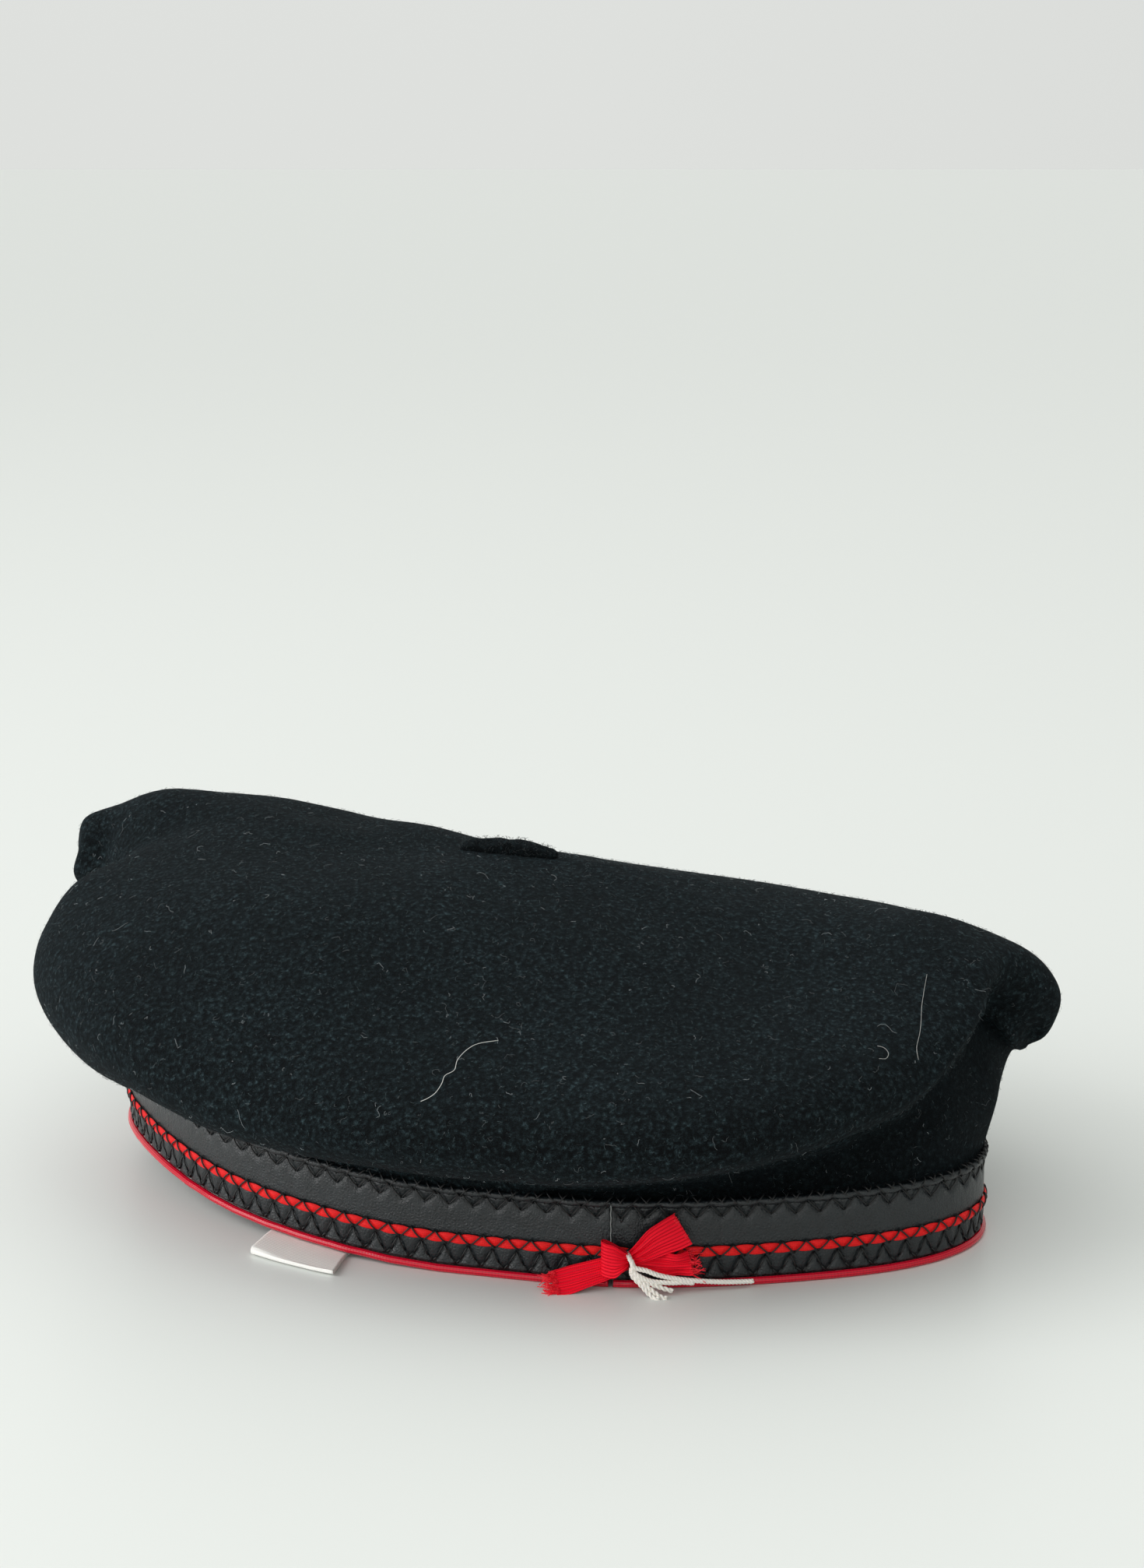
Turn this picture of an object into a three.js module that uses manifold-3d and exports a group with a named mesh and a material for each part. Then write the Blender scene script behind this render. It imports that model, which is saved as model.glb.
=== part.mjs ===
// A beret of fulled wool felt with a leather band round the head opening, lying on its band.
// Lengths in millimetres, angles in degrees seen from above, +X to the right, +Y to the back, +Z up.
import * as THREE from "three";
import Module from "manifold-3d";
import { mergeVertices } from "three/addons/utils/BufferGeometryUtils.js";

// Head opening, measured on the outside of the leather band
const OPENING_LENGTH = 228.5;
const OPENING_WIDTH = 134;
const OPENING_TURN = -20;

// Felt body
const CROWN_HEIGHT = 84;
const OVERHANG = 30;
const FELT = 2.2;
const FELT_HEM = 2;
const DISC_CENTRE_X = 5;
const DISC_CENTRE_Y = 7;
const WALL_SHARE = 0.45;
const SHOULDER_SHARE = 0.3;
const DOME_SHARE = 0.65;

// Leather band and its trims
const BAND_HEIGHT = 21.3;
const LEATHER = 1.2;
const SEAM_TURN = 284.2;
const SEAM_GAP = 0.5;
const BEAD = 1.4;
const BEAD_PROUD = 0.4;
const BEAD_CREST = 0.7;
const PIPING = 2;
const BRAID_WIDTH = 2.4;
const BRAID_THICKNESS = 0.9;
const BRAID_HEIGHT = 8.9;

// The band stands off the table on one side
const LIFT = 9;
const LIFT_TURN = 168;
const LIFT_SPREAD = 90;

// Felt stalk at the disc's centre, lying along the crest
const STALK_TURN = 160;
const STALK_LENGTH = 25;
const STALK_WIDTH = 5.5;
const STALK_THICKNESS = 4.2;

// Folded tape label that comes out under the band
const LABEL_TURN = 220.4;
const LABEL_LENGTH = 22.5;
const LABEL_REACH = 7.4;
const LABEL_SLANT = 1;
const LABEL_INSIDE = 7;
const LABEL_FOLD = 1.5;
const TAPE = 0.5;

// Ribbon bow tied over the seam
const RIBBON_WIDTH = 8.5;
const RIBBON = 1;
const KNOT_WIDTH = 3.4;
const KNOT_HEIGHT = 4.8;
const KNOT_THICKNESS = 2.6;
const KNOT_OFFSET = 3.6;
const KNOT_UP = 10.1;

const CLEARANCE = 0.3;
const LABEL_STEPS = 6;
const STRIP_STEPS = 3;
const KNOT_STEPS = 12;
const STALK_SIDES = 8;
const PIPING_SIDES = 8;
const BRAID_SIDES = 6;
const SECTION_TURN = 6;
const FOLD_TURN = 3;

// Turns rows of numbers into records with named columns
function table(columns, rows) {
  return rows.map((row) => Object.fromEntries(columns.map((name, k) => [name, row[k]])));
}

// How full the head opening is against a true oval, by direction
const OPENING_SHAPE = table(["at", "full"], [
  [0, 0.985],
  [30, 0.97],
  [75, 0.98],
  [120, 0.97],
  [150, 1.01],
  [180, 0.96],
  [210, 1.0],
  [240, 1.0],
  [262, 0.98],
  [285, 0.99],
  [312, 0.965],
  [338, 1.015],
]);

// Sections of the felt body round the opening. Each pair of columns holds a distance outside the
// opening as a share of OVERHANG and a height as a share of CROWN_HEIGHT.
// tuck: where the side wall meets the underside; low: the lowest line of the rolled edge;
// edge: its outermost line; brow: its top. shoulder and dome: heights on the way from the brow to
// the disc's centre.
const FELT_SECTIONS = table([
  "at", "tuckOut", "tuckUp", "lowOut", "lowUp", "edgeOut", "edgeUp", "browOut", "browUp",
  "shoulderUp", "domeUp",
], [
  [0, 0.34, 0.46, 0.54, 0.48, 0.82, 0.62, 0.48, 0.78, 0.88, 0.94],
  [28, 0.24, 0.47, 0.55, 0.43, 0.92, 0.57, 0.55, 0.73, 0.84, 0.93],
  [90, 0.3, 0.42, 0.9, 0.36, 1.4, 0.46, 1.1, 0.64, 0.79, 0.92],
  [126, 0.2, 0.5, 0.75, 0.5, 1.15, 0.68, 0.86, 0.86, 0.95, 0.96],
  [143, 0.1, 0.54, 0.66, 0.6, 1.12, 0.83, 0.9, 0.95, 1.04, 0.99],
  [151, 0.1, 0.54, 0.62, 0.62, 1.08, 0.87, 0.88, 0.97, 1.05, 1],
  [160, 0.1, 0.46, 0.12, 0.54, 0.28, 0.75, 0.04, 0.92, 1.04, 1],
  [169, 0.15, 0.42, 0.32, 0.42, 0.66, 0.68, 0.44, 0.87, 1.02, 1],
  [180, 0.2, 0.38, 0.45, 0.37, 0.96, 0.62, 0.76, 0.8, 0.99, 1],
  [205, 0.2, 0.4, 0.5, 0.4, 1.01, 0.54, 0.82, 0.7, 0.92, 0.99],
  [238, 0.2, 0.42, 0.62, 0.38, 1.04, 0.48, 0.84, 0.6, 0.79, 0.95],
  [270, 0.2, 0.41, 0.62, 0.36, 1.02, 0.47, 0.82, 0.58, 0.74, 0.92],
  [298, 0.15, 0.44, 0.52, 0.4, 0.95, 0.5, 0.76, 0.6, 0.74, 0.9],
  [314, 0.02, 0.46, 0.28, 0.45, 0.66, 0.55, 0.48, 0.66, 0.77, 0.9],
  [325, -0.14, 0.51, 0.04, 0.5, 0.34, 0.59, 0.22, 0.7, 0.8, 0.91],
  [333, -0.2, 0.59, -0.1, 0.62, 0.14, 0.67, 0.06, 0.76, 0.84, 0.92],
  [340, -0.2, 0.64, -0.16, 0.71, 0.06, 0.77, -0.02, 0.83, 0.87, 0.93],
  [345, 0.02, 0.5, -0.04, 0.62, 0.16, 0.76, 0.08, 0.83, 0.885, 0.93],
  [351, 0.3, 0.46, 0.42, 0.5, 0.72, 0.65, 0.42, 0.8, 0.885, 0.93],
]);

// The stalk from its root to its tip, as shares of its length, width and thickness
const STALK_SHAPE = table(["share", "wide", "thick"], [
  [0, 0.5, 0.5],
  [0.12, 0.85, 0.75],
  [0.4, 1, 1],
  [0.8, 0.95, 1],
  [0.95, 0.85, 0.9],
  [1, 0.6, 0.6],
]);

// Strips of the bow from the knot outward, in shares of the ribbon's width. along, out and up
// place a strip's middle; the lean columns give the direction that its width runs in.
const BOW_COLUMNS = ["along", "out", "up", "leanAlong", "leanOut", "leanUp", "wide"];
const BOW_STRIPS = [
  table(BOW_COLUMNS, [
    [0, 0.02, 0.05, 0.3, 0, -0.95, 0.4],
    [0.7, 0.06, 0.35, 0.45, 0, -0.9, 0.7],
    [1.44, 0.14, 0.74, 0.49, 0.1, -0.87, 1],
  ]),
  table(BOW_COLUMNS, [
    [0, 0, -0.05, 0.2, 0, -1, 0.4],
    [1, -0.04, -0.22, 0.3, 0, -0.95, 0.6],
    [1.95, 0, -0.4, 0.37, 0, -0.93, 0.72],
  ]),
  table(BOW_COLUMNS, [
    [0, 0, 0, 0, 0, -1, 0.45],
    [-0.4, 0.04, -0.03, 0, 0, -1, 0.8],
    [-0.76, 0.04, -0.08, 0, 0, -1, 1],
  ]),
  table(BOW_COLUMNS, [
    [0, 0.1, -0.15, 0.1, 0.3, -0.9, 0.4],
    [-1.1, 0.2, -0.72, 0.2, 0.6, -0.6, 0.75],
    [-2.05, 0.24, -1.08, 0.5, 0.85, -0.1, 0.9],
  ]),
];

// Directions between which the felt is folded
const FOLDS = table(["from", "to"], [
  [138, 174],
  [318, 356],
]);

const radians = THREE.MathUtils.degToRad;
const degrees = THREE.MathUtils.radToDeg;
const wrapped = (turn) => ((turn % 360) + 360) % 360;

// Smooth periodic curve through one column of a table of directions
function around(rows, column, at) {
  const turn = wrapped(at);
  const n = rows.length;
  let i = rows.findIndex((row) => row.at > turn) - 1;
  if (i < -1) i = n - 1;
  const row = (k) => rows[((k % n) + n) % n];
  const place = (k) => row(k).at + 360 * Math.floor(k / n);
  const slope = (k) => {
    return (row(k + 1)[column] - row(k - 1)[column]) / (place(k + 1) - place(k - 1));
  };
  const span = place(i + 1) - place(i);
  const t = (turn - place(i)) / span;
  const rise = row(i + 1)[column] - row(i)[column];
  const a = slope(i) * span - rise;
  const b = rise - slope(i + 1) * span;
  return row(i)[column] + t * rise + t * (1 - t) * (a * (1 - t) + b * t);
}

// A point of the head opening, and the direction that points away from it
function openingPoint(at) {
  const t = radians(at - OPENING_TURN);
  const a = OPENING_LENGTH / 2;
  const b = OPENING_WIDTH / 2;
  const radius = around(OPENING_SHAPE, "full", at) / Math.hypot(Math.cos(t) / a, Math.sin(t) / b);
  return new THREE.Vector2(radius * Math.cos(radians(at)), radius * Math.sin(radians(at)));
}

function openingNormal(at) {
  const ahead = openingPoint(at + 1).sub(openingPoint(at - 1)).normalize();
  return new THREE.Vector2(ahead.y, -ahead.x);
}

// How far the lower edge of the band stands off the table
function lift(at) {
  const away = Math.abs(wrapped(at - LIFT_TURN + 180) - 180) / LIFT_SPREAD;
  return away < 1 ? LIFT * (0.5 + 0.5 * Math.cos(Math.PI * away)) : 0;
}

function beside(at, out, up) {
  const base = openingPoint(at).addScaledVector(openingNormal(at), out);
  return new THREE.Vector3(base.x, base.y, up);
}

// Directions of the sections round the opening: even turns of the oval, so that they lie closer
// together at its ends, and half as far apart in the folds
function sectionDirections() {
  const directions = [];
  let turn = 0;
  while (turn < 360) {
    const x = OPENING_LENGTH * Math.cos(radians(turn));
    const y = OPENING_WIDTH * Math.sin(radians(turn));
    const at = wrapped(degrees(Math.atan2(y, x)) + OPENING_TURN);
    directions.push(at);
    turn += FOLDS.some((fold) => at >= fold.from && at < fold.to) ? FOLD_TURN : SECTION_TURN;
  }
  return directions;
}

const DIRECTIONS = sectionDirections();

function geometryOf(points, faces) {
  const geometry = new THREE.BufferGeometry();
  const coordinates = points.flatMap((p) => p.toArray());
  geometry.setAttribute("position", new THREE.Float32BufferAttribute(coordinates, 3));
  geometry.setIndex(faces.flat());
  geometry.computeVertexNormals();
  return geometry;
}

// A closed body through a row of like sections, each anticlockwise when looking along the row.
// An open row is capped with the triangles of its first section's outline.
function loft(sections, outline) {
  const points = sections.flat();
  const faces = [];
  const n = sections[0].length;
  const spans = outline ? sections.length - 1 : sections.length;
  for (let i = 0; i < spans; i += 1) {
    for (let j = 0; j < n; j += 1) {
      const a = i * n + j;
      const b = i * n + ((j + 1) % n);
      const c = ((i + 1) % sections.length) * n + ((j + 1) % n);
      const d = ((i + 1) % sections.length) * n + j;
      faces.push([a, d, b], [b, d, c]);
    }
  }
  if (outline) {
    const last = points.length - n;
    for (const [a, b, c] of THREE.ShapeUtils.triangulateShape(outline, [])) {
      faces.push([a, b, c], [last + a, last + c, last + b]);
    }
  }
  return geometryOf(points, faces);
}

// A loft along the opening's edge; an outline holds distances outside the opening and heights
function alongOpening(outlineAt, directions) {
  const sections = directions.map((at) => outlineAt(at).map((p) => beside(at, p.x, p.y)));
  return loft(sections, outlineAt(directions[0]));
}

function evenly(from, to, steps) {
  return Array.from({ length: steps + 1 }, (_, i) => from + ((to - from) * i) / steps);
}

function ovalOutline(width, height, sides) {
  const points = [];
  for (let k = 0; k < sides; k += 1) {
    const turn = (2 * Math.PI * (k + 0.5)) / sides - Math.PI / 2;
    points.push(new THREE.Vector2((width / 2) * Math.cos(turn), (height / 2) * Math.sin(turn)));
  }
  return points;
}

// A strip that runs through stations, each with a place, the direction of its width, and its size
function bentStrip(stations, thickness) {
  const middle = new THREE.CatmullRomCurve3(stations.map((s) => s.place), false, "centripetal");
  const steps = STRIP_STEPS * (stations.length - 1);
  const sections = [];
  for (let i = 0; i <= steps; i += 1) {
    const t = (i / steps) * (stations.length - 1);
    const k = Math.min(Math.floor(t), stations.length - 2);
    const across = stations[k].across.clone().lerp(stations[k + 1].across, t - k).normalize();
    const wide = THREE.MathUtils.lerp(stations[k].wide, stations[k + 1].wide, t - k) / 2;
    const ahead = middle.getTangent(i / steps);
    const face = across.clone().cross(ahead).normalize().multiplyScalar(thickness / 2);
    const place = middle.getPoint(i / steps);
    sections.push([[-wide, -1], [wide, -1], [wide, 1], [-wide, 1]].map(
      ([w, side]) => place.clone().addScaledVector(across, w).addScaledVector(face, side)));
  }
  const corners = [[-1, -1], [1, -1], [1, 1], [-1, 1]];
  return loft(sections, corners.map(([x, y]) => new THREE.Vector2(x, y)));
}

const wasm = await Module();
wasm.setup();

function solidOf(geometry) {
  return new wasm.Manifold(new wasm.Mesh({
    numProp: 3,
    vertProperties: new Float32Array(geometry.attributes.position.array),
    triVerts: new Uint32Array(geometry.index.array),
  }));
}

function bare(geometry) {
  geometry.deleteAttribute("normal");
  geometry.deleteAttribute("uv");
  return geometry;
}

function joined(geometries) {
  const mesh = geometries.map(solidOf).reduce((whole, solid) => whole.add(solid)).getMesh();
  const geometry = new THREE.BufferGeometry();
  geometry.setAttribute("position", new THREE.BufferAttribute(mesh.vertProperties, 3));
  geometry.setIndex(new THREE.BufferAttribute(mesh.triVerts, 1));
  geometry.computeVertexNormals();
  return geometry;
}

// The felt body

const DISC_CENTRE = new THREE.Vector3(DISC_CENTRE_X, DISC_CENTRE_Y, CROWN_HEIGHT);
const FELT_INSIDE_BAND = -(LEATHER + CLEARANCE);

// A point of the felt outside the opening, and one on the way from the brow to the disc's centre
function feltPoint(at, name) {
  const base = openingPoint(at);
  const out = base.clone().setLength(base.length() + around(FELT_SECTIONS, `${name}Out`, at) * OVERHANG);
  return new THREE.Vector3(out.x, out.y, around(FELT_SECTIONS, `${name}Up`, at) * CROWN_HEIGHT);
}

function discPoint(at, share, name) {
  const point = feltPoint(at, "brow").lerp(DISC_CENTRE, share);
  return point.setZ(around(FELT_SECTIONS, `${name}Up`, at) * CROWN_HEIGHT);
}

// Key points of one section, from the felt's lower edge up to the disc's centre and past it
function feltKeys(at) {
  const hem = beside(at, FELT_INSIDE_BAND, lift(at) + FELT_HEM);
  const bandTop = beside(at, FELT_INSIDE_BAND, lift(at) + BAND_HEIGHT);
  const tuck = feltPoint(at, "tuck");
  return [
    hem,
    bandTop,
    bandTop.clone().lerp(tuck, WALL_SHARE),
    tuck,
    feltPoint(at, "low"),
    feltPoint(at, "edge"),
    feltPoint(at, "brow"),
    discPoint(at, SHOULDER_SHARE, "shoulder"),
    discPoint(at, DOME_SHARE, "dome"),
    DISC_CENTRE,
    discPoint(at + 180, DOME_SHARE, "dome"),
  ];
}

const FELT_ROWS = [1, 1, 1, 2, 3, 3, 3, 3, 3];

function feltSection(at) {
  const keys = feltKeys(at);
  const points = [];
  for (let k = 0; k < FELT_ROWS.length; k += 1) {
    const stations = [keys[Math.max(k - 1, 0)], ...keys.slice(k, k + 3)];
    const curve = new THREE.CatmullRomCurve3(stations, false, "centripetal");
    for (let s = 0; s < FELT_ROWS[k]; s += 1) {
      points.push(curve.getPoint((1 + s / FELT_ROWS[k]) / 3));
    }
  }
  return points;
}

// The outer surface and one a felt's thickness inside it, drawn thinner where the felt bends sharply
function feltBody() {
  const outer = DIRECTIONS.map(feltSection);
  const turns = outer.length;
  const rows = outer[0].length;
  const at = (i, j) => outer[(i + turns) % turns][j];
  const facing = (i, j) => {
    const along = at(i + 1, j).clone().sub(at(i - 1, j));
    const up = (j + 1 < rows ? at(i, j + 1) : DISC_CENTRE).clone().sub(at(i, Math.max(j - 1, 0)));
    return along.cross(up).normalize();
  };
  const inner = outer.map((column, i) => column.map((point, j) => {
    const outward = [i - 1, i, i + 1].map((k) => facing(k, j));
    const step = -FELT / outward.length;
    return outward.reduce((inside, normal) => inside.addScaledVector(normal, step), point.clone());
  }));
  const points = [...outer.flat(), ...inner.flat()];
  const top = points.push(DISC_CENTRE.clone()) - 1;
  const under = points.push(DISC_CENTRE.clone().setZ(DISC_CENTRE.z - FELT)) - 1;
  const faces = [];
  const offset = turns * rows;
  for (let i = 0; i < turns; i += 1) {
    const here = i * rows;
    const next = ((i + 1) % turns) * rows;
    for (let j = 0; j < rows - 1; j += 1) {
      const [a, b, c, d] = [here + j, next + j, next + j + 1, here + j + 1];
      faces.push([a, b, c], [a, c, d]);
      faces.push([offset + a, offset + c, offset + b], [offset + a, offset + d, offset + c]);
    }
    faces.push([here + rows - 1, next + rows - 1, top]);
    faces.push([offset + here + rows - 1, under, offset + next + rows - 1]);
    faces.push([here, offset + here, next], [next, offset + here, offset + next]);
  }
  return geometryOf(points, faces);
}

// Leather band and its trims

const PIPING_MIDDLE = (PIPING / 2) * Math.cos(Math.PI / PIPING_SIDES);
const SEAM_HALF_TURN = degrees(SEAM_GAP / openingPoint(SEAM_TURN).length()) / 2;

// A trim that starts and ends at the seam and shares the felt's sections between
function fromSeamToSeam(outlineAt) {
  const start = SEAM_TURN + SEAM_HALF_TURN;
  const end = SEAM_TURN + 360 - SEAM_HALF_TURN;
  const between = DIRECTIONS.map((at) => SEAM_TURN + wrapped(at - SEAM_TURN));
  between.sort((p, q) => p - q);
  return alongOpening(outlineAt, [start, ...between.filter((at) => at > start + 1 && at < end - 1), end]);
}

// The strip of leather, with its upper edge turned over into a bead
function leatherBand() {
  return fromSeamToSeam((at) => {
    const bottom = lift(at) + PIPING + CLEARANCE;
    const top = lift(at) + BAND_HEIGHT;
    return [
      [-LEATHER, bottom],
      [0, bottom],
      [0, top - BEAD],
      [BEAD_PROUD, top - (BEAD + BEAD_CREST) / 2],
      [BEAD_PROUD, top - (BEAD - BEAD_CREST) / 2],
      [0, top],
      [-LEATHER, top],
    ].map(([out, up]) => new THREE.Vector2(out, up));
  });
}

function placed(outline, out, up) {
  return outline.map((p) => new THREE.Vector2(p.x + out, p.y + up));
}

// Corded piping under the leather, with a flat underside that the hat rests on
function piping() {
  const outline = ovalOutline(PIPING, PIPING, PIPING_SIDES);
  return fromSeamToSeam((at) => placed(outline, 0, lift(at) + PIPING_MIDDLE));
}

function braid() {
  const out = CLEARANCE + BRAID_THICKNESS / 2;
  const outline = ovalOutline(BRAID_THICKNESS, BRAID_WIDTH, BRAID_SIDES);
  return fromSeamToSeam((at) => placed(outline, out, lift(at) + BRAID_HEIGHT));
}

// The label

// Tape folded on itself: one layer lies on the table, the other slopes up to pass under the band
function careLabel() {
  const halfTurn = degrees(LABEL_LENGTH / openingPoint(LABEL_TURN).length()) / 2;
  return alongOpening((at) => {
    const above = lift(at) - CLEARANCE;
    const reach = LABEL_REACH + (LABEL_SLANT * (at - LABEL_TURN)) / halfTurn;
    return [
      [-LABEL_INSIDE, 0],
      [reach - TAPE, 0],
      [reach, TAPE],
      [PIPING, above],
      [-LABEL_INSIDE, above],
      [-LABEL_INSIDE, above - TAPE],
      [PIPING - TAPE, above - TAPE],
      [reach - LABEL_FOLD, TAPE],
      [-LABEL_INSIDE, TAPE],
    ].map(([out, up]) => new THREE.Vector2(out, up));
  }, evenly(LABEL_TURN - halfTurn, LABEL_TURN + halfTurn, LABEL_STEPS));
}

// The stalk

// Rooted at the disc's centre, it lies back along the felt's surface and narrows at both ends
function stalk() {
  const keys = feltKeys(STALK_TURN).slice(-4);
  const curve = new THREE.CatmullRomCurve3(keys, false, "centripetal");
  const reach = DISC_CENTRE.distanceTo(keys[1]);
  const sections = STALK_SHAPE.map(({ share, wide, thick }) => {
    const t = (2 - (share * STALK_LENGTH) / reach) / 3;
    const place = curve.getPoint(t);
    const back = curve.getTangent(t).negate();
    const side = back.clone().cross(new THREE.Vector3(0, 0, 1)).normalize();
    const up = side.clone().cross(back).normalize();
    const raise = CLEARANCE + (thick * STALK_THICKNESS) / 2;
    return ovalOutline(wide * STALK_WIDTH, thick * STALK_THICKNESS, STALK_SIDES).map(
      (p) => place.clone().addScaledVector(side, p.x).addScaledVector(up, p.y + raise));
  });
  return loft(sections, ovalOutline(STALK_WIDTH, STALK_THICKNESS, STALK_SIDES));
}

// The bow

const KNOT_OUT = 2 * CLEARANCE + BRAID_THICKNESS + KNOT_THICKNESS / 2;

function atKnot(along, out, up) {
  return beside(SEAM_TURN + degrees((KNOT_OFFSET + along) / openingPoint(SEAM_TURN).length()), out, up);
}

// Directions at the knot: along the band, away from it, and up
function atKnotDirection(along, out, up) {
  const origin = atKnot(0, 0, 0);
  const direction = new THREE.Vector3(0, 0, up);
  direction.addScaledVector(atKnot(1, 0, 0).sub(origin).normalize(), along);
  direction.addScaledVector(atKnot(0, 1, 0).sub(origin).normalize(), out);
  return direction.normalize();
}

function bowStation(row) {
  const out = KNOT_OUT + row.out * RIBBON_WIDTH;
  const up = KNOT_UP + row.up * RIBBON_WIDTH;
  return {
    place: atKnot(row.along * RIBBON_WIDTH, out, up),
    across: atKnotDirection(row.leanAlong, row.leanOut, row.leanUp),
    wide: row.wide * RIBBON_WIDTH,
  };
}

function ribbonBow() {
  const away = atKnotDirection(0, 1, 0);
  const knot = mergeVertices(bare(new THREE.SphereGeometry(1, KNOT_STEPS, KNOT_STEPS / 2)));
  knot.scale(KNOT_THICKNESS / 2, KNOT_WIDTH / 2, KNOT_HEIGHT / 2);
  knot.rotateZ(Math.atan2(away.y, away.x));
  knot.translate(...atKnot(0, KNOT_OUT, KNOT_UP).toArray());
  const strips = BOW_STRIPS.map((rows) => bentStrip(rows.map(bowStation), RIBBON));
  return joined([knot, ...strips]);
}

// Colours and finishes

function finish(color, roughness) {
  return new THREE.MeshStandardMaterial({ color, roughness, metalness: 0 });
}

const felt = () => finish(0x14191f, 0.95);
const leather = () => finish(0x26282a, 0.5);
const crimson = () => finish(0xb80f24, 0.3);
const redSilk = () => finish(0xd21a1e, 0.55);
const offWhite = () => finish(0xe9e6dc, 0.6);

const pieces = [
  ["felt_crown", feltBody(), felt()],
  ["felt_stalk", stalk(), felt()],
  ["leather_band", leatherBand(), leather()],
  ["red_piping", piping(), crimson()],
  ["red_braid", braid(), redSilk()],
  ["care_label", careLabel(), offWhite()],
  ["ribbon_bow", ribbonBow(), redSilk()],
];

const hat = new THREE.Group();
for (const [name, geometry, material] of pieces) {
  const mesh = new THREE.Mesh(geometry, material);
  mesh.name = name;
  hat.add(mesh);
}

// The part's origin is the middle of its footprint, on the table
const middle = new THREE.Box3().setFromObject(hat).getCenter(new THREE.Vector3());
hat.position.set(-middle.x, -middle.y, 0);

const beret = new THREE.Group();
beret.add(hat);

export default beret;
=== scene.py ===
"""A beret of fulled wool felt with a leather band, red braid, piping and a tied ribbon bow.

Lengths in the code are millimetres unless a name says otherwise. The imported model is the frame:
the leather band's outline, its lift off the table and the crown's surface are all read from it.
"""
import math

import bmesh
import bpy
import numpy as np
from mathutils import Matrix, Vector, noise
from mathutils.bvhtree import BVHTree


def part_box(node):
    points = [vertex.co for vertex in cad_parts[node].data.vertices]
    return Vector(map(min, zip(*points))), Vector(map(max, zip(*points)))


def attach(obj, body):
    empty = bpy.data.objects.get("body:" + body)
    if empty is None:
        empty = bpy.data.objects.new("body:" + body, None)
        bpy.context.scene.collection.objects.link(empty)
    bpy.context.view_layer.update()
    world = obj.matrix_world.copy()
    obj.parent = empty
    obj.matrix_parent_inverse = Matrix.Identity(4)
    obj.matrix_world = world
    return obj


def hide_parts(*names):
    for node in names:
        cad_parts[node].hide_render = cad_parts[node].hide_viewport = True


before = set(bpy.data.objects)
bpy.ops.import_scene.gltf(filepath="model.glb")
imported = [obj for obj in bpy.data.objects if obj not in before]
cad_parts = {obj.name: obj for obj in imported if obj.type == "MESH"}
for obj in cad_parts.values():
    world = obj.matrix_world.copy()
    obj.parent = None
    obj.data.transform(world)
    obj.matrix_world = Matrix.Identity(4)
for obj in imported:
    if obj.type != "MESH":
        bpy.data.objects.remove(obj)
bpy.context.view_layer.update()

bl_info = {
    "name": "Felt beret",
    "version": (1, 0, 0),
    "blender": (4, 5, 0),
    "location": "3D View > Sidebar > Beret",
    "description": "Builds a felt beret with a leather band and a ribbon bow round its packed frame",
    "category": "Object",
}

MM = 0.001

# The photograph's frame and camera
IMAGE_WIDTH = 1470
IMAGE_HEIGHT = 2014
FOCAL_PIXELS = 3800
CAMERA_AT = Vector((8.14, -728.46, 259.93))
CAMERA_PITCH = 12.104
SENSOR_MM = 36

# The stage: half the floor's side and the window's place and size in metres, where the daylight
# comes from, and how wide a piece of sky gives it, in degrees
FLOOR_HALF = 40.0
SKY_FROM = (-0.7, -0.75, 1.0)
SKY_SPREAD = 100
WINDOW_AT = (-1.9, -0.5, 0.9)
WINDOW_AIM = (0.0, 0.0, 0.05)
WINDOW_SIZE = 1.5

# The backdrop from the far left round to the far right, as (share of the way, sRGB colour)
BACKDROP = [(0.0, "ffffff"), (0.26, "fafaf7"), (0.38, "f0f2ef"), (0.5, "f0f2ef"), (0.62, "eceeeb"),
            (0.72, "d8dbd7"), (1.0, "b0b4b1")]

SEED = 7


# Helpers for colours, nodes and meshes

def linear(hex_colour):
    """The linear colour of an sRGB hex value such as '14191f'."""
    parts = [int(hex_colour[i:i + 2], 16) / 255 for i in (0, 2, 4)]
    return tuple(((p + 0.055) / 1.055) ** 2.4 if p > 0.04045 else p / 12.92 for p in parts)


def rgba(colour):
    """A colour with full alpha, as a colour socket takes it."""
    return (*tuple(colour)[:3], 1.0)


def add_node(tree, kind, inputs=(), **settings):
    """Adds a shader node with its settings, and its inputs as values or as links."""
    made = tree.nodes.new("ShaderNode" + kind)
    for name, value in settings.items():
        setattr(made, name, value)
    for socket, value in dict(inputs).items():
        if isinstance(value, bpy.types.NodeSocket):
            tree.links.new(value, made.inputs[socket])
        else:
            made.inputs[socket].default_value = value
    return made


def new_material(name, **inputs):
    """A Principled material with constant inputs; returns it with its tree and shader."""
    made = bpy.data.materials.new(name)
    made.use_nodes = True
    shader = made.node_tree.nodes["Principled BSDF"]
    for socket, value in inputs.items():
        shader.inputs[socket.replace("_", " ")].default_value = value
    return made, made.node_tree, shader


def ramp(tree, factor, stops):
    """A colour ramp from (position, linear colour) stops."""
    made = add_node(tree, "ValToRGB", {"Fac": factor})
    elements = made.color_ramp.elements
    while len(elements) < len(stops):
        elements.new(0.5)
    for element, (position, colour) in zip(elements, stops):
        element.position = position
        element.color = rgba(colour)
    return made.outputs["Color"]


def shade(colour, factor):
    """A colour made lighter or darker."""
    return tuple(min(1.0, c * factor) for c in tuple(colour)[:3])


def bump(tree, shader, height, strength, distance, normal=None):
    """Low relief on a shader, over an earlier one where that is given; distance is in metres."""
    inputs = {"Height": height, "Strength": strength, "Distance": distance}
    if normal is not None:
        inputs["Normal"] = normal
    made = add_node(tree, "Bump", inputs)
    tree.links.new(made.outputs["Normal"], shader.inputs["Normal"])
    return made.outputs["Normal"]


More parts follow.
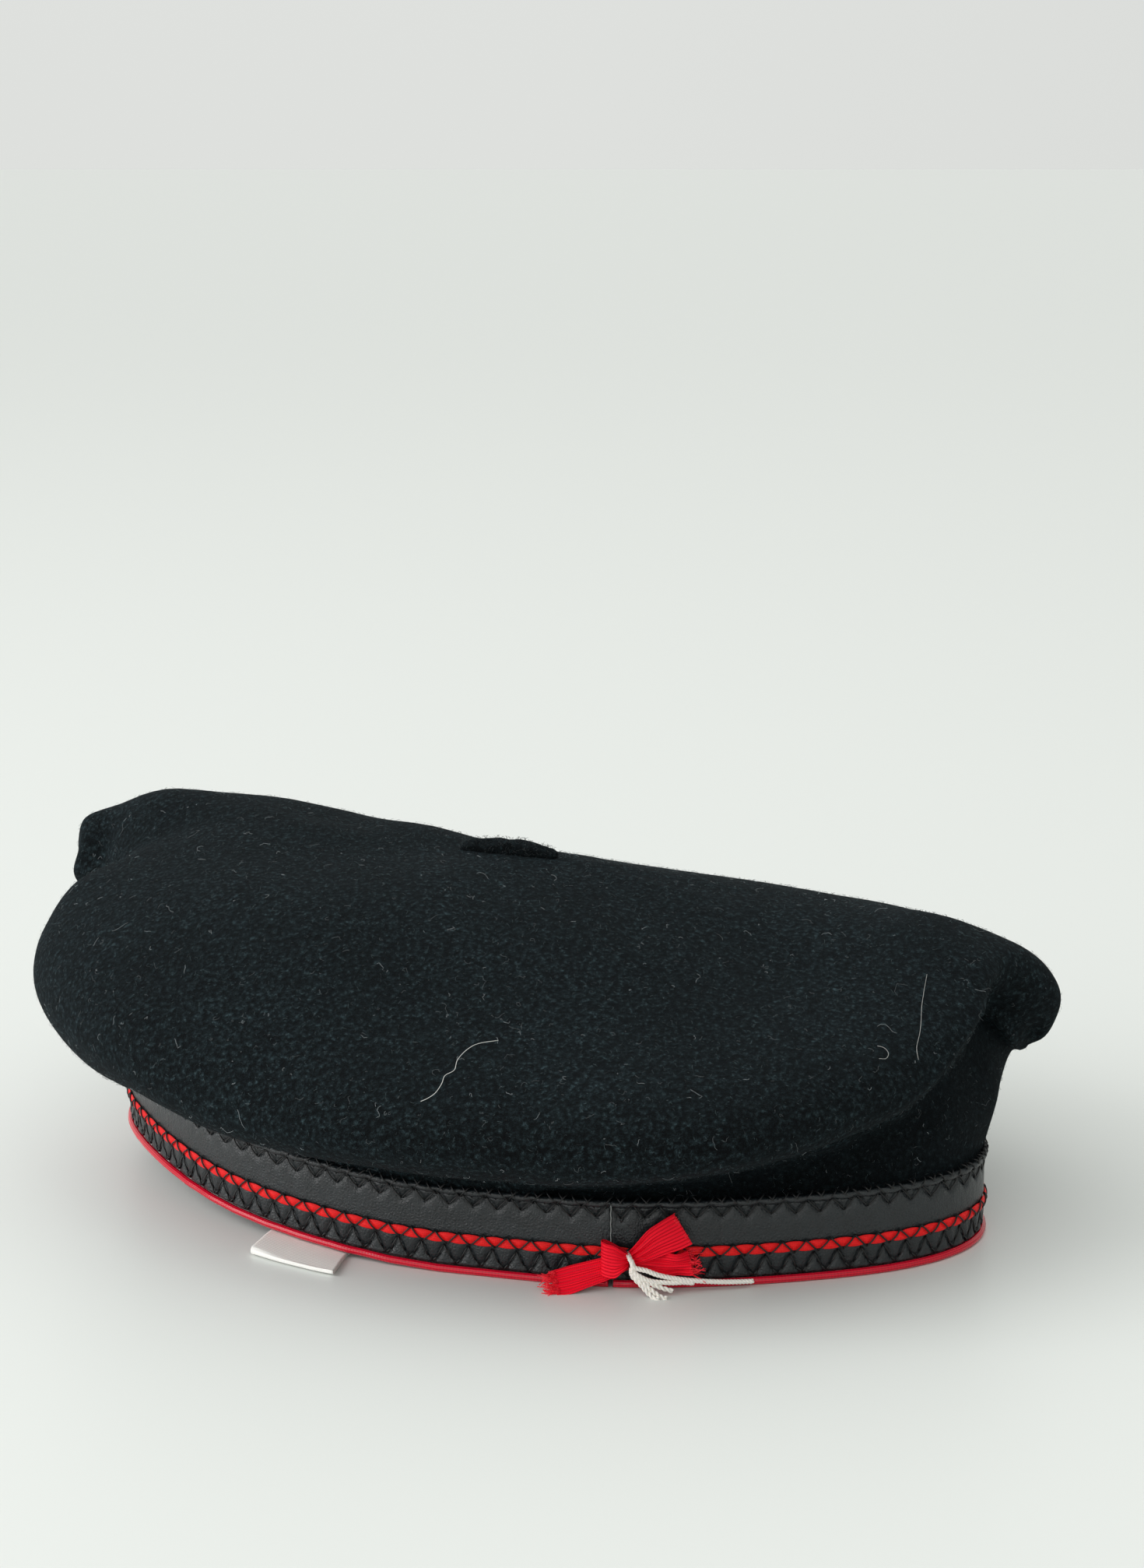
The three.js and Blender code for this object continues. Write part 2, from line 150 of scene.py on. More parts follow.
def piece(name, mesh, material, replaces=()):
    """Links a finished mesh as a piece that rides on the hat."""
    mesh.name = name
    for face in mesh.polygons:
        face.use_smooth = True
    mesh.materials.clear()
    mesh.materials.append(material)
    made = bpy.data.objects.new(name, mesh)
    bpy.context.scene.collection.objects.link(made)
    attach(made, "root")
    if replaces:
        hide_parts(*replaces)


def mesh_of(bm):
    """A mesh, in metres, from a bmesh in millimetres."""
    bmesh.ops.scale(bm, vec=(MM, MM, MM), verts=bm.verts)
    made = bpy.data.meshes.new("made")
    bm.to_mesh(made)
    bm.free()
    return made


def mapped_grid(along, across, place, tube=False, thickness=0.0):
    """A grid moved by place(u, v), each from 0 to 1, closed round v where it is a tube."""
    bm = bmesh.new()
    layer = bm.loops.layers.uv.new("uv")
    bmesh.ops.create_grid(bm, x_segments=along, y_segments=across, size=1.0)
    raw = np.array([v.co for v in bm.verts])
    share = (raw[:, :2] - raw[:, :2].min(0)) / np.ptp(raw[:, :2], axis=0)
    places = place(share[:, 0], share[:, 1])
    for face in bm.faces:
        for loop in face.loops:
            loop[layer].uv = share[loop.vert.index]
    for vert, at in zip(bm.verts, places):
        vert.co = at
    if tube:
        bmesh.ops.remove_doubles(bm, verts=bm.verts, dist=1e-5)
        bmesh.ops.holes_fill(bm, edges=[e for e in bm.edges if e.is_boundary], sides=0)
        bmesh.ops.recalc_face_normals(bm, faces=bm.faces)
    if thickness:
        bmesh.ops.recalc_face_normals(bm, faces=bm.faces)
        bm = thickened(bm, thickness)
        bmesh.ops.recalc_face_normals(bm, faces=bm.faces)
    return bm


def thickened(bm, thickness):
    """A sheet given its thickness on the inner side."""
    mesh = bpy.data.meshes.new("sheet")
    bm.to_mesh(mesh)
    bm.free()
    holder = bpy.data.objects.new("sheet", mesh)
    bpy.context.scene.collection.objects.link(holder)
    solid = holder.modifiers.new("thickness", "SOLIDIFY")
    solid.thickness = thickness
    bpy.context.view_layer.update()
    made = bmesh.new()
    made.from_object(holder, bpy.context.evaluated_depsgraph_get())
    bpy.data.objects.remove(holder)
    return made


def strands(name, paths, radius, material, sides=1, radii=None):
    """Makes a piece of thin round strands, closed at their ends, through rows of points."""
    curve = bpy.data.curves.new(name, "CURVE")
    curve.dimensions = "3D"
    curve.bevel_depth = radius * MM
    curve.bevel_resolution = sides
    curve.use_fill_caps = True
    for k, path in enumerate(paths):
        points = np.asarray(path, float) * MM
        spline = curve.splines.new("POLY")
        spline.points.add(len(points) - 1)
        spline.points.foreach_set("co", np.c_[points, np.ones(len(points))].ravel())
        if radii is not None:
            spline.points.foreach_set("radius", np.asarray(radii[k], float))
    holder = bpy.data.objects.new(name + "_curve", curve)
    bpy.context.scene.collection.objects.link(holder)
    bpy.context.view_layer.update()
    evaluated = holder.evaluated_get(bpy.context.evaluated_depsgraph_get())
    mesh = bpy.data.meshes.new_from_object(evaluated)
    bpy.data.objects.remove(holder)
    bpy.data.curves.remove(curve)
    bm = bmesh.new()
    bm.from_mesh(mesh)
    bmesh.ops.remove_doubles(bm, verts=bm.verts, dist=1e-7)
    bm.to_mesh(mesh)
    bm.free()
    piece(name, mesh, material)


def smooth_curve(points, steps):
    """Catmull-Rom points through a short row of chosen ones."""
    p = np.asarray(points, float)
    p = np.vstack([2 * p[0] - p[1], p, 2 * p[-1] - p[-2]])
    made = []
    for k in range(1, len(p) - 2):
        for t in np.linspace(0, 1, steps, endpoint=False):
            a, b, c, d = p[k - 1], p[k], p[k + 1], p[k + 2]
            made.append(0.5 * (2 * b + (c - a) * t + (2 * a - 5 * b + 4 * c - d) * t * t
                               + (3 * b - a - 3 * c + d) * t ** 3))
    made.append(p[-2])
    return np.array(made)


def tree_of(mesh):
    """A search tree of a mesh, in metres."""
    bm = bmesh.new()
    bm.from_mesh(mesh)
    made = BVHTree.FromBMesh(bm)
    bm.free()
    return made


# The head opening's edge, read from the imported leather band

class Rim:
    """The band's outline, as a closed curve measured from the seam, positive to the bow's right."""

    # rays sent in from all round, how far out they start, in metres, and how squarely a face has to
    # meet one
    RAYS = 1440
    REACH = 0.3
    FACING = 0.5
    # how far inside the leather's face its height is measured, and from which heights
    INSIDE = 0.6
    BELOW = -20
    ABOVE = 80
    # points averaged to take the facets off the outline, and the step between the points kept
    SMOOTH = 13
    STEP = 0.5
    # the soft band settles towards the table at the bow's left: how far, where, and over what length
    SETTLES = 1.6
    SETTLES_AT = -106
    SETTLES_OVER = 38

    def __init__(self):
        tree = tree_of(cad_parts["leather_band"].data)
        low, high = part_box("leather_band")
        middle = (low + high) / 2
        points, found = [], []
        for k in range(self.RAYS):
            turn = 2 * math.pi * k / self.RAYS
            out = Vector((math.cos(turn), math.sin(turn), 0))
            hit, normal = tree.ray_cast(middle + out * self.REACH, -out)[:2]
            near = hit is not None and (hit - middle).dot(out) > 0 and normal.dot(out) > self.FACING
            found.append(near)
            points.append(tuple(hit / MM)[:2] if near else (0, 0))
        points = np.array(points)
        found = np.array(found)
        # the rays that go in through the closing seam meet nothing near
        seam = int(np.flatnonzero(~found).mean())
        order = np.arange(self.RAYS)
        for axis in (0, 1):
            points[:, axis] = np.interp(order, order[found], points[found, axis])
        points = np.roll(points, -seam, axis=0)
        kernel = np.hanning(self.SMOOTH + 2)[1:-1]
        kernel /= kernel.sum()
        wrapped = np.vstack([points[-self.SMOOTH:], points, points[:self.SMOOTH]])
        smooth = np.stack([np.convolve(wrapped[:, a], kernel, "same") for a in (0, 1)], 1)
        points = smooth[self.SMOOTH:-self.SMOOTH]
        closed = np.vstack([points, points[:1]])
        distance = np.r_[0, np.cumsum(np.linalg.norm(np.diff(closed, axis=0), axis=1))]
        self.length = distance[-1]
        self.at = np.linspace(0, self.length, int(self.length / self.STEP) + 1)
        self.xy = np.stack([np.interp(self.at, distance, closed[:, a]) for a in (0, 1)], 1)
        ahead = np.gradient(self.xy, axis=0)
        ahead[0] = ahead[-1] = self.xy[1] - self.xy[-2]
        ahead /= np.linalg.norm(ahead, axis=1)[:, None]
        self.normal = np.stack([ahead[:, 1], -ahead[:, 0]], 1)
        low = self.measure(tree, self.BELOW, 1)
        high = self.measure(tree, self.ABOVE, -1)
        self.band_low = low.min()
        lift = low - self.band_low
        self.band_high = float(np.median(high - lift))
        away = (self.at - self.length - self.SETTLES_AT) / self.SETTLES_OVER
        self.lift = np.maximum(lift - self.SETTLES * np.exp(-away ** 2), 0)

    def measure(self, tree, start, way):
        """Height of the band's edge that a vertical ray meets, all along the opening."""
        heights = []
        for (x, y), (nx, ny) in zip(self.xy, self.normal):
            start_at = Vector((x - nx * self.INSIDE, y - ny * self.INSIDE, start)) * MM
            hit = tree.ray_cast(start_at, Vector((0, 0, way)))[0]
            heights.append(np.nan if hit is None else hit.z / MM)
        heights = np.array(heights)
        good = ~np.isnan(heights)
        return np.interp(self.at, self.at[good], heights[good])

    def place(self, s, out, up):
        """Points beside the opening: s along it, out from it, and up from its lower edge."""
        s = np.mod(s, self.length)
        x, y = (np.interp(s, self.at, self.xy[:, a]) for a in (0, 1))
        nx, ny = (np.interp(s, self.at, self.normal[:, a]) for a in (0, 1))
        lift = np.interp(s, self.at, self.lift)
        return np.stack([x + nx * out, y + ny * out, up + lift], -1)


RIM = Rim()


class Zigzag:
    """A row of machine stitches round the opening: its turning points, and distances to it."""

    def __init__(self, motif, pitch, start, jitter, seed):
        count = int(round(RIM.length / pitch))
        pitch = RIM.length / count
        random = np.random.default_rng(seed)
        turns = []
        for k in range(count):
            for share, height in motif:
                turns.append((start + (k + share) * pitch, height))
        turns = np.array(turns)
        turns += random.uniform(-jitter, jitter, turns.shape)
        self.turns = turns
        before, after = turns[-3:].copy(), turns[:3].copy()
        before[:, 0] -= RIM.length
        after[:, 0] += RIM.length
        self.row = np.vstack([before, turns, after])

    def distance(self, s, up):
        """Distance from points (s, up) to the nearest leg, on the unrolled band."""
        s = self.turns[0, 0] + np.mod(s - self.turns[0, 0], RIM.length)
        index = np.clip(np.searchsorted(self.row[:, 0], s) - 1, 1, len(self.row) - 3)
        nearest = np.full(s.shape, 1e9)
        for shift in (-1, 0, 1):
            a, b = self.row[index + shift], self.row[np.clip(index + shift + 1, 0, len(self.row) - 1)]
            leg = b - a
            point = np.stack([s, up], -1) - a
            share = np.clip((point * leg).sum(-1) / (leg ** 2).sum(-1), 0, 1)
            nearest = np.minimum(nearest, np.linalg.norm(point - share[:, None] * leg, axis=-1))
        return nearest


# Sizes and colours that a user would change

class FeltSettings(bpy.types.PropertyGroup):
    """The felt, its loose fibres and the lint on it"""
    colour: bpy.props.FloatVectorProperty(
        name="Felt", description="Colour of the felt", subtype="COLOR", default=linear("131b1d"))
    fibre_colour: bpy.props.FloatVectorProperty(
        name="Fibre colour", description="Colour of the felt's loose ends", subtype="COLOR",
        default=linear("2b3638"))
    lint_colour: bpy.props.FloatVectorProperty(
        name="Lint colour", description="Colour of the pale lint", subtype="COLOR",
        default=linear("c6cfd3"))
    fibres: bpy.props.IntProperty(
        name="Fibre count", description="Loose fibre ends in each of three coats", default=6000)
    fibre_length: bpy.props.FloatProperty(
        name="Fibre length", description="Length of the loose fibre ends", unit="LENGTH",
        default=0.75 * MM)
    lint: bpy.props.IntProperty(
        name="Lint count", description="Pale curly fibres caught in the felt", default=2200)


class BandSettings(bpy.types.PropertyGroup):
    """The leather, the trim round it and its stitches"""
    leather: bpy.props.FloatVectorProperty(
        name="Leather", description="Colour of the leather", subtype="COLOR", default=linear("171c1f"))
    braid: bpy.props.FloatVectorProperty(
        name="Braid", description="Colour of the braid", subtype="COLOR", default=linear("ee1518"))
    piping: bpy.props.FloatVectorProperty(
        name="Piping", description="Colour of the piping", subtype="COLOR", default=linear("cc0f2c"))
    thread: bpy.props.FloatVectorProperty(
        name="Sewing thread", description="Colour of the sewing thread", subtype="COLOR",
        default=linear("050607"))
    pitch: bpy.props.FloatProperty(
        name="Stitch pitch", description="Length of one zigzag", unit="LENGTH", default=5.9 * MM)
    pucker: bpy.props.FloatProperty(
        name="Pucker", description="How deep the stitches pull the leather in", unit="LENGTH",
        default=0.8 * MM)


class BowSettings(bpy.types.PropertyGroup):
    """The ribbon, the twine round its knot and the label"""
    ribbon: bpy.props.FloatVectorProperty(
        name="Ribbon", description="Colour of the ribbon", subtype="COLOR", default=linear("ef0a28"))
    twine: bpy.props.FloatVectorProperty(
        name="Twine", description="Colour of the twisted thread", subtype="COLOR",
        default=linear("f1ece4"))
    label: bpy.props.FloatVectorProperty(
        name="Label", description="Colour of the bare tape label", subtype="COLOR",
        default=linear("fbf9f3"))
    twine_width: bpy.props.FloatProperty(
        name="Twine width", description="Diameter of the twisted thread", unit="LENGTH",
        default=1.2 * MM)


class StageSettings(bpy.types.PropertyGroup):
    """The floor and the light"""
    floor: bpy.props.FloatVectorProperty(
        name="Floor", description="Colour of the floor", subtype="COLOR", default=linear("e5e8e5"))
    daylight: bpy.props.FloatProperty(
        name="Daylight", description="Strength of the broad soft light from the left front", default=0.9)
    window: bpy.props.FloatProperty(
        name="Window", description="Power of the light at the left, in watts", default=22)
    fill: bpy.props.FloatProperty(
        name="Fill", description="Strength of the light from all round", default=0.88)
    horizon: bpy.props.FloatProperty(
        name="Horizon", description="Brightness of the backdrop over the far floor", default=0.84)


def settings(name):
    """One group of the scene's settings: felt, band, bow or stage."""
    return getattr(bpy.context.scene, "beret_" + name)


# Materials

# Tones of the felt from its pits to its nubs, as (height, brightness): partly the fibres' own mottle, partly
# painted shade in the pits and painted highlight on the nubs
FELT_TONES_AND_PIT_SHADE = [(0.43, 0.05), (0.49, 0.5), (0.55, 2.6), (0.61, 8.0)]


def felt_material(name, colour):
    """Fulled wool felt, milled until the weave is gone: matt, mottled, with painted shade between its nubs
    and a pale sheen at its edge.
    """
    made, tree, shader = new_material(
        name, Roughness=0.95, Specular_IOR_Level=0.1, Sheen_Weight=0.09,
        Sheen_Roughness=0.4, Sheen_Tint=rgba(linear("7593a3")))
    at = add_node(tree, "TexCoord").outputs["Object"]
    # clumps of fibre 1.2 mm across, over single fibres; those are 0.02 mm thick and are drawn at
    # 0.35 mm so that they show
    clumps = add_node(tree, "TexNoise", {"Vector": at, "Scale": 1 / (1.2 * MM), "Detail": 4.0,
                                         "Roughness": 0.6, "Distortion": 0.3})
    fibres = add_node(tree, "TexNoise", {"Vector": at, "Scale": 1 / (0.35 * MM), "Detail": 3.0,
                                         "Roughness": 0.7, "Distortion": 1.5})
    worn = add_node(tree, "TexNoise", {"Vector": at, "Scale": 1 / (38 * MM), "Detail": 2.0})
    # worn wool felt pills into nubs about 1.2 mm apart
    nubs = add_node(tree, "TexVoronoi", {"Vector": at, "Scale": 1 / (1.15 * MM), "Smoothness": 0.6},
                    feature="SMOOTH_F1")
    apart = add_node(tree, "MapRange", {"Value": nubs.outputs["Distance"], "From Max": 0.9,
                                        "To Min": 0.62, "To Max": 0.32})
    loose = add_node(tree, "Mix", {"Factor": 0.5})
    tree.links.new(clumps.outputs["Fac"], loose.inputs[2])
    tree.links.new(fibres.outputs["Fac"], loose.inputs[3])
    half = add_node(tree, "Mix", {"Factor": 0.35})
    tree.links.new(loose.outputs[0], half.inputs[2])
    tree.links.new(apart.outputs[0], half.inputs[3])
    # painted shade: the ramp darkens the pits between the nubs and lightens the nub tops, over the fibres'
    # own mottle
    mottle_and_pit_shade = ramp(tree, half.outputs[0], [(at, shade(colour, tone)) for at, tone in FELT_TONES_AND_PIT_SHADE])
    # patches about 40 mm across that are rubbed more or less
    patches = ramp(tree, worn.outputs["Fac"], [(0.35, (0.8, 0.8, 0.8)), (0.7, (1.2, 1.18, 1.2))])
    mixed = add_node(tree, "Mix", {"Factor": 1.0}, data_type="RGBA", blend_type="MULTIPLY")
    tree.links.new(mottle_and_pit_shade, mixed.inputs[6])
    tree.links.new(patches, mixed.inputs[7])
    # painted shade: the felt is darkened on the wall that the front flap overhangs, where shade falls
    flap_shade = add_node(tree, "Attribute", attribute_name="flap_shade")
    flap_shaded = add_node(tree, "Mix", {"Factor": 1.0}, data_type="RGBA", blend_type="MULTIPLY")
    tree.links.new(mixed.outputs[2], flap_shaded.inputs[6])
    tree.links.new(flap_shade.outputs["Fac"], flap_shaded.inputs[7])
    tree.links.new(flap_shaded.outputs[2], shader.inputs["Base Color"])
    bump(tree, shader, half.outputs[0], 1.0, 2.0 * MM)
    return made


def fibre_material(name, colour, sheen):
    """Loose wool fibre, crimped and scaly: dry and matt, with a soft pale sheen where it turns away."""
    made, _, _ = new_material(
        name, Roughness=0.6, Specular_IOR_Level=0.3, Sheen_Weight=sheen,
        Base_Color=rgba(colour), Sheen_Tint=rgba(linear("c4ccd0")))
    return made


def leather_material():
    """Chrome-tanned leather, dyed black and pressed: a low sheen in soft patches, over fine creases."""
    colour = settings("band").leather
    made, tree, shader = new_material("black leather", Specular_IOR_Level=0.5, IOR=1.5)
    at = add_node(tree, "TexCoord").outputs["Object"]
    # the pressed grain is 0.5 mm, drawn at 0.8 mm so that it shows, with creases of about 1 mm that
    # run up the band
    grain = add_node(tree, "TexVoronoi", {"Vector": at, "Scale": 1 / (0.8 * MM)},
                     feature="DISTANCE_TO_EDGE")
    upright = add_node(tree, "Mapping", {"Vector": at, "Scale": (1, 1, 0.35)})
    pores = add_node(tree, "TexNoise", {"Vector": upright.outputs[0], "Scale": 1 / (0.9 * MM),
                                        "Detail": 4.0, "Roughness": 0.65})
    soft = add_node(tree, "TexNoise", {"Vector": at, "Scale": 1 / (4 * MM), "Detail": 3.0})
    tone = ramp(tree, soft.outputs["Fac"], [(0.3, shade(colour, 0.8)), (0.7, shade(colour, 1.3))])
    tree.links.new(tone, shader.inputs["Base Color"])
    gloss = add_node(tree, "MapRange", {"Value": soft.outputs["Fac"], "To Min": 0.26, "To Max": 0.38})
    tree.links.new(gloss.outputs[0], shader.inputs["Roughness"])
    first = bump(tree, shader, grain.outputs["Distance"], 0.6, 0.3 * MM)
    bump(tree, shader, pores.outputs["Fac"], 0.6, 0.45 * MM, first)
    return made


def woven_material(name, colour, along, across, sheen, roughness, specular=0.4, deep=0.6):
    """A strip woven with so many floats along it and ribs across it: painted shade in the gaps, painted
    highlight on top.
    """
    made, tree, shader = new_material(
        name, Roughness=roughness, Specular_IOR_Level=specular, Sheen_Weight=sheen,
        Sheen_Roughness=0.4, Sheen_Tint=rgba(shade(colour, 1.6)))
    uv = add_node(tree, "UVMap", uv_map="uv").outputs["UV"]
    place = add_node(tree, "Mapping", {"Vector": uv, "Scale": (along, across, 1)})
    # ribs over the width, and lower floats along them
    split = add_node(tree, "SeparateXYZ", {"Vector": place.outputs[0]})
    rows = add_node(tree, "Math", {0: split.outputs["Y"], 1: 2 * math.pi}, operation="MULTIPLY")
    ribs = add_node(tree, "Math", {0: rows.outputs[0]}, operation="SINE")
    runs = add_node(tree, "Math", {0: split.outputs["X"], 1: 2 * math.pi}, operation="MULTIPLY")
    floats = add_node(tree, "Math", {0: runs.outputs[0]}, operation="SINE")
    height = add_node(tree, "Math", {0: floats.outputs[0], 1: 0.35, 2: ribs.outputs[0]},
                      operation="MULTIPLY_ADD")
    level = add_node(tree, "MapRange", {"Value": height.outputs[0], "From Min": -1.35, "From Max": 1.35})
    # painted shade: the gaps between ribs and floats darken to the share deep of the colour, and the tops
    # get a painted highlight
    tone = ramp(tree, level.outputs[0], [(0.0, shade(colour, deep)), (0.55, colour),
                                         (1.0, shade(colour, 1.2))])
    tree.links.new(tone, shader.inputs["Base Color"])
    bump(tree, shader, level.outputs[0], 0.5, 0.12 * MM)
    return made


# The crown

def pixel_ray(pixel):
    """The direction from the camera of a pixel of the photograph."""
    pitch = math.radians(CAMERA_PITCH)
    x = (pixel[0] - IMAGE_WIDTH / 2) / FOCAL_PIXELS
    y = (IMAGE_HEIGHT / 2 - pixel[1]) / FOCAL_PIXELS
    return Vector((x, math.cos(pitch) + y * math.sin(pitch), y * math.cos(pitch) - math.sin(pitch)))


def to_pixels(places):
    """Where places in millimetres are seen in the photograph."""
    pitch = math.radians(CAMERA_PITCH)
    local = places - np.array(CAMERA_AT)
    depth = local[:, 1] * math.cos(pitch) - local[:, 2] * math.sin(pitch)
    rise = local[:, 1] * math.sin(pitch) + local[:, 2] * math.cos(pitch)
    return np.stack([IMAGE_WIDTH / 2 + FOCAL_PIXELS * local[:, 0] / depth,
                     IMAGE_HEIGHT / 2 - FOCAL_PIXELS * rise / depth], 1)


# Where a hand has pressed or pulled the felt: a pixel of the photograph, the radius of the place,
# and how far it moves to the right, to the back and up
PRESSED = [
    ((124, 1128), 9.0, (-3.6, 0.0, 0.0)),
    ((115, 1127), 4.8, (-3.2, 0.0, 0.0)),
    ((116, 1108), 5.0, (-1.6, 0.0, 0.0)),
    ((118, 1068), 6.0, (-2.0, 0.0, 2.4)),
    ((133, 1100), 5.5, (0.0, 4.0, -0.5)),
    ((200, 1040), 15.0, (0.0, 0.0, 4.0)),
    ((300, 1040), 20.0, (0.0, 0.0, 2.5)),
    ((430, 1062), 22.0, (0.0, 0.0, 2.0)),
    ((560, 1080), 18.0, (0.0, 0.0, 3.4)),
    ((280, 1430), 28.0, (0.0, 0.0, -2.0)),
    ((1262, 1412), 11.0, (3.0, 0.0, 0.0)),
    ((1338, 1322), 6.0, (0.8, 0.0, -2.0)),
    ((1268, 1300), 5.5, (0.0, 4.0, 0.0)),
    ((1316, 1340), 3.5, (0.0, 2.4, 0.0)),
    ((1327, 1320), 2.4, (0.0, 2.2, 0.0)),
    ((1200, 1190), 14.0, (0.0, 0.0, 2.6)),
]

# The lip of the front flap, as pixels of the photograph
FLAP_LIP = [(700, 1526), (787, 1523), (874, 1517), (961, 1501), (1031, 1486), (1092, 1466), (1157, 1433),
            (1196, 1398), (1222, 1366), (1249, 1324), (1262, 1304), (1276, 1312), (1300, 1342), (1318, 1352)]

# In pixels: the lip's width, how far its middle lies above that line, and the height over which the
# wall behind it comes out again. In millimetres: how far the lip comes forward and the wall goes
# back. Then how much the painted shade darkens the wall under the flap
LIP_WIDTH = 9
LIP_ABOVE = 8
WALL_FADE = 60
LIP_FORWARD = 1.3
WALL_BEHIND = 3.4
WALL_PAINTED_SHADE = 0.6

# The felt's unevenness, as (size of a wave, height), both in millimetres, how far the stalk sinks
# into the crown, and how much painted shade darkens its felt beside the crown's
SLOW_WAVE = (26, 0.5)
QUICK_WAVE = (7, 0.14)
STALK_LUMPS = (2.2, 0.5)
STALK_NUBS = (0.9, 0.25)
STALK_SINKS = 0.9
STALK_SHADE = 0.45


def crown_mesh():
    """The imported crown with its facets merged, rounded, pressed, and softly uneven."""
    bm = bmesh.new()
    bm.from_mesh(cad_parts["felt_crown"].data)
    bmesh.ops.remove_doubles(bm, verts=bm.verts, dist=2e-6)
    bmesh.ops.join_triangles(bm, faces=bm.faces, angle_face_threshold=math.pi,
                             angle_shape_threshold=math.pi)
    mesh = bpy.data.meshes.new("crown")
    bm.to_mesh(mesh)
    bm.free()
    holder = bpy.data.objects.new("crown", mesh)
    bpy.context.scene.collection.objects.link(holder)
    finer = holder.modifiers.new("finer", "SUBSURF")
    finer.levels = finer.render_levels = 2
    bpy.context.view_layer.update()
    made = bpy.data.meshes.new_from_object(
        holder.evaluated_get(bpy.context.evaluated_depsgraph_get()))
    bpy.data.objects.remove(holder)
    tree = tree_of(made)
    bm = bmesh.new()
    bm.from_mesh(made)
    places = np.array([v.co for v in bm.verts]) / MM
    moves = np.zeros(places.shape)
    for pixel, radius, move in PRESSED:
        hit = tree.ray_cast(CAMERA_AT * MM, pixel_ray(pixel))[0]
        away = np.linalg.norm(places - np.array(hit) / MM, axis=1)
        moves += np.exp(-(away / radius) ** 2)[:, None] * np.array(move)
    lip = np.array(FLAP_LIP)
    pixels = to_pixels(places)
    below = pixels[:, 1] - np.interp(pixels[:, 0], lip[:, 0], lip[:, 1])
    along = (pixels[:, 0] > lip[0, 0]) & (pixels[:, 0] < lip[-1, 0]) & (places[:, 1] < 0)
    moves[:, 1] -= along * LIP_FORWARD * np.exp(-((below + LIP_ABOVE) / LIP_WIDTH) ** 2)
    under = np.clip(below / LIP_WIDTH, 0, 1) * np.exp(-(below / WALL_FADE) ** 2)
    moves[:, 1] += along * WALL_BEHIND * under
    # painted shade on the wall under the flap's lip, kept as a vertex attribute that the felt's colour is
    # multiplied by
    flap_shade = 1 - WALL_PAINTED_SHADE * along * np.clip(below / LIP_WIDTH, 0, 1)
    bm.normal_update()
    for vert, move in zip(bm.verts, moves):
        slow = noise.noise(vert.co / (SLOW_WAVE[0] * MM))
        quick = noise.noise(vert.co / (QUICK_WAVE[0] * MM) + Vector((9, 4, 2)))
        out = SLOW_WAVE[1] * slow + QUICK_WAVE[1] * quick
        vert.co += vert.normal * out * MM + Vector(move) * MM
    bm.to_mesh(made)
    bm.free()
    made.attributes.new("flap_shade", "FLOAT", "POINT").data.foreach_set("value", flap_shade)
    return made


class BERET_OT_crown(bpy.types.Operator):
    """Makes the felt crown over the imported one"""
    bl_idname = "beret.crown"
    bl_label = "Felt crown"

    def execute(self, context):
        felt = felt_material("fulled wool felt", settings("felt").colour)
        piece("crown_felt", crown_mesh(), felt, ["felt_crown"])
        return {"FINISHED"}


class BERET_OT_stalk(bpy.types.Operator):
    """Makes the felt stalk that lies along the crest"""
    bl_idname = "beret.stalk"
    bl_label = "Felt stalk"

    def execute(self, context):
        bm = bmesh.new()
        bm.from_mesh(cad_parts["felt_stalk"].data)
        bmesh.ops.remove_doubles(bm, verts=bm.verts, dist=2e-6)
        bmesh.ops.subdivide_edges(bm, edges=bm.edges, cuts=3, use_grid_fill=True, smooth=0.4)
        bmesh.ops.triangulate(bm, faces=bm.faces)
        bm.normal_update()
        for vert in bm.verts:
            lump = sum(noise.noise(vert.co / (size * MM)) * height
                       for size, height in (STALK_LUMPS, STALK_NUBS))
            vert.co += (vert.normal * lump - Vector((0, 0, STALK_SINKS))) * MM
        mesh = bpy.data.meshes.new("stalk")
        bm.to_mesh(mesh)
        bm.free()
        # the stalk gets no painted flap shade: the attribute is one everywhere
        flap_shade = np.ones(len(mesh.vertices))
        mesh.attributes.new("flap_shade", "FLOAT", "POINT").data.foreach_set("value", flap_shade)
        # painted shade: the same wool felt, darkened where the tightly rolled stalk shades itself
        felt = felt_material("stalk felt", shade(settings("felt").colour, STALK_SHADE))
        piece("stalk_felt", mesh, felt, ["felt_stalk"])
        return {"FINISHED"}


# Loose fibres and lint

def surface_samples(mesh, count, random):
    """Random points on a mesh that see open air, with their normals, in millimetres."""
    mesh.calc_loop_triangles()
    corners = np.array([v.co for v in mesh.vertices])
    faces = np.array([t.vertices[:] for t in mesh.loop_triangles])
    a, b, c = (corners[faces[:, k]] for k in range(3))
    cross = np.cross(b - a, c - a)
    area = np.linalg.norm(cross, axis=1)
    tree = tree_of(mesh)
    points, normals = [], []
    while len(points) < count:
        picks = random.choice(len(faces), size=count, p=area / area.sum())
        share = random.uniform(size=(count, 2))
        over = share.sum(1) > 1
        share[over] = 1 - share[over]
        places = a[picks] + share[:, :1] * (b - a)[picks] + share[:, 1:] * (c - a)[picks]
        facing = cross[picks] / area[picks][:, None]
        for place, normal in zip(places, facing):
            out = Vector(normal)
            if tree.ray_cast(Vector(place) + out * 0.5 * MM, out, 0.25)[0] is None:
                points.append(place / MM)
                normals.append(normal)
    return np.array(points[:count]), np.array(normals[:count])


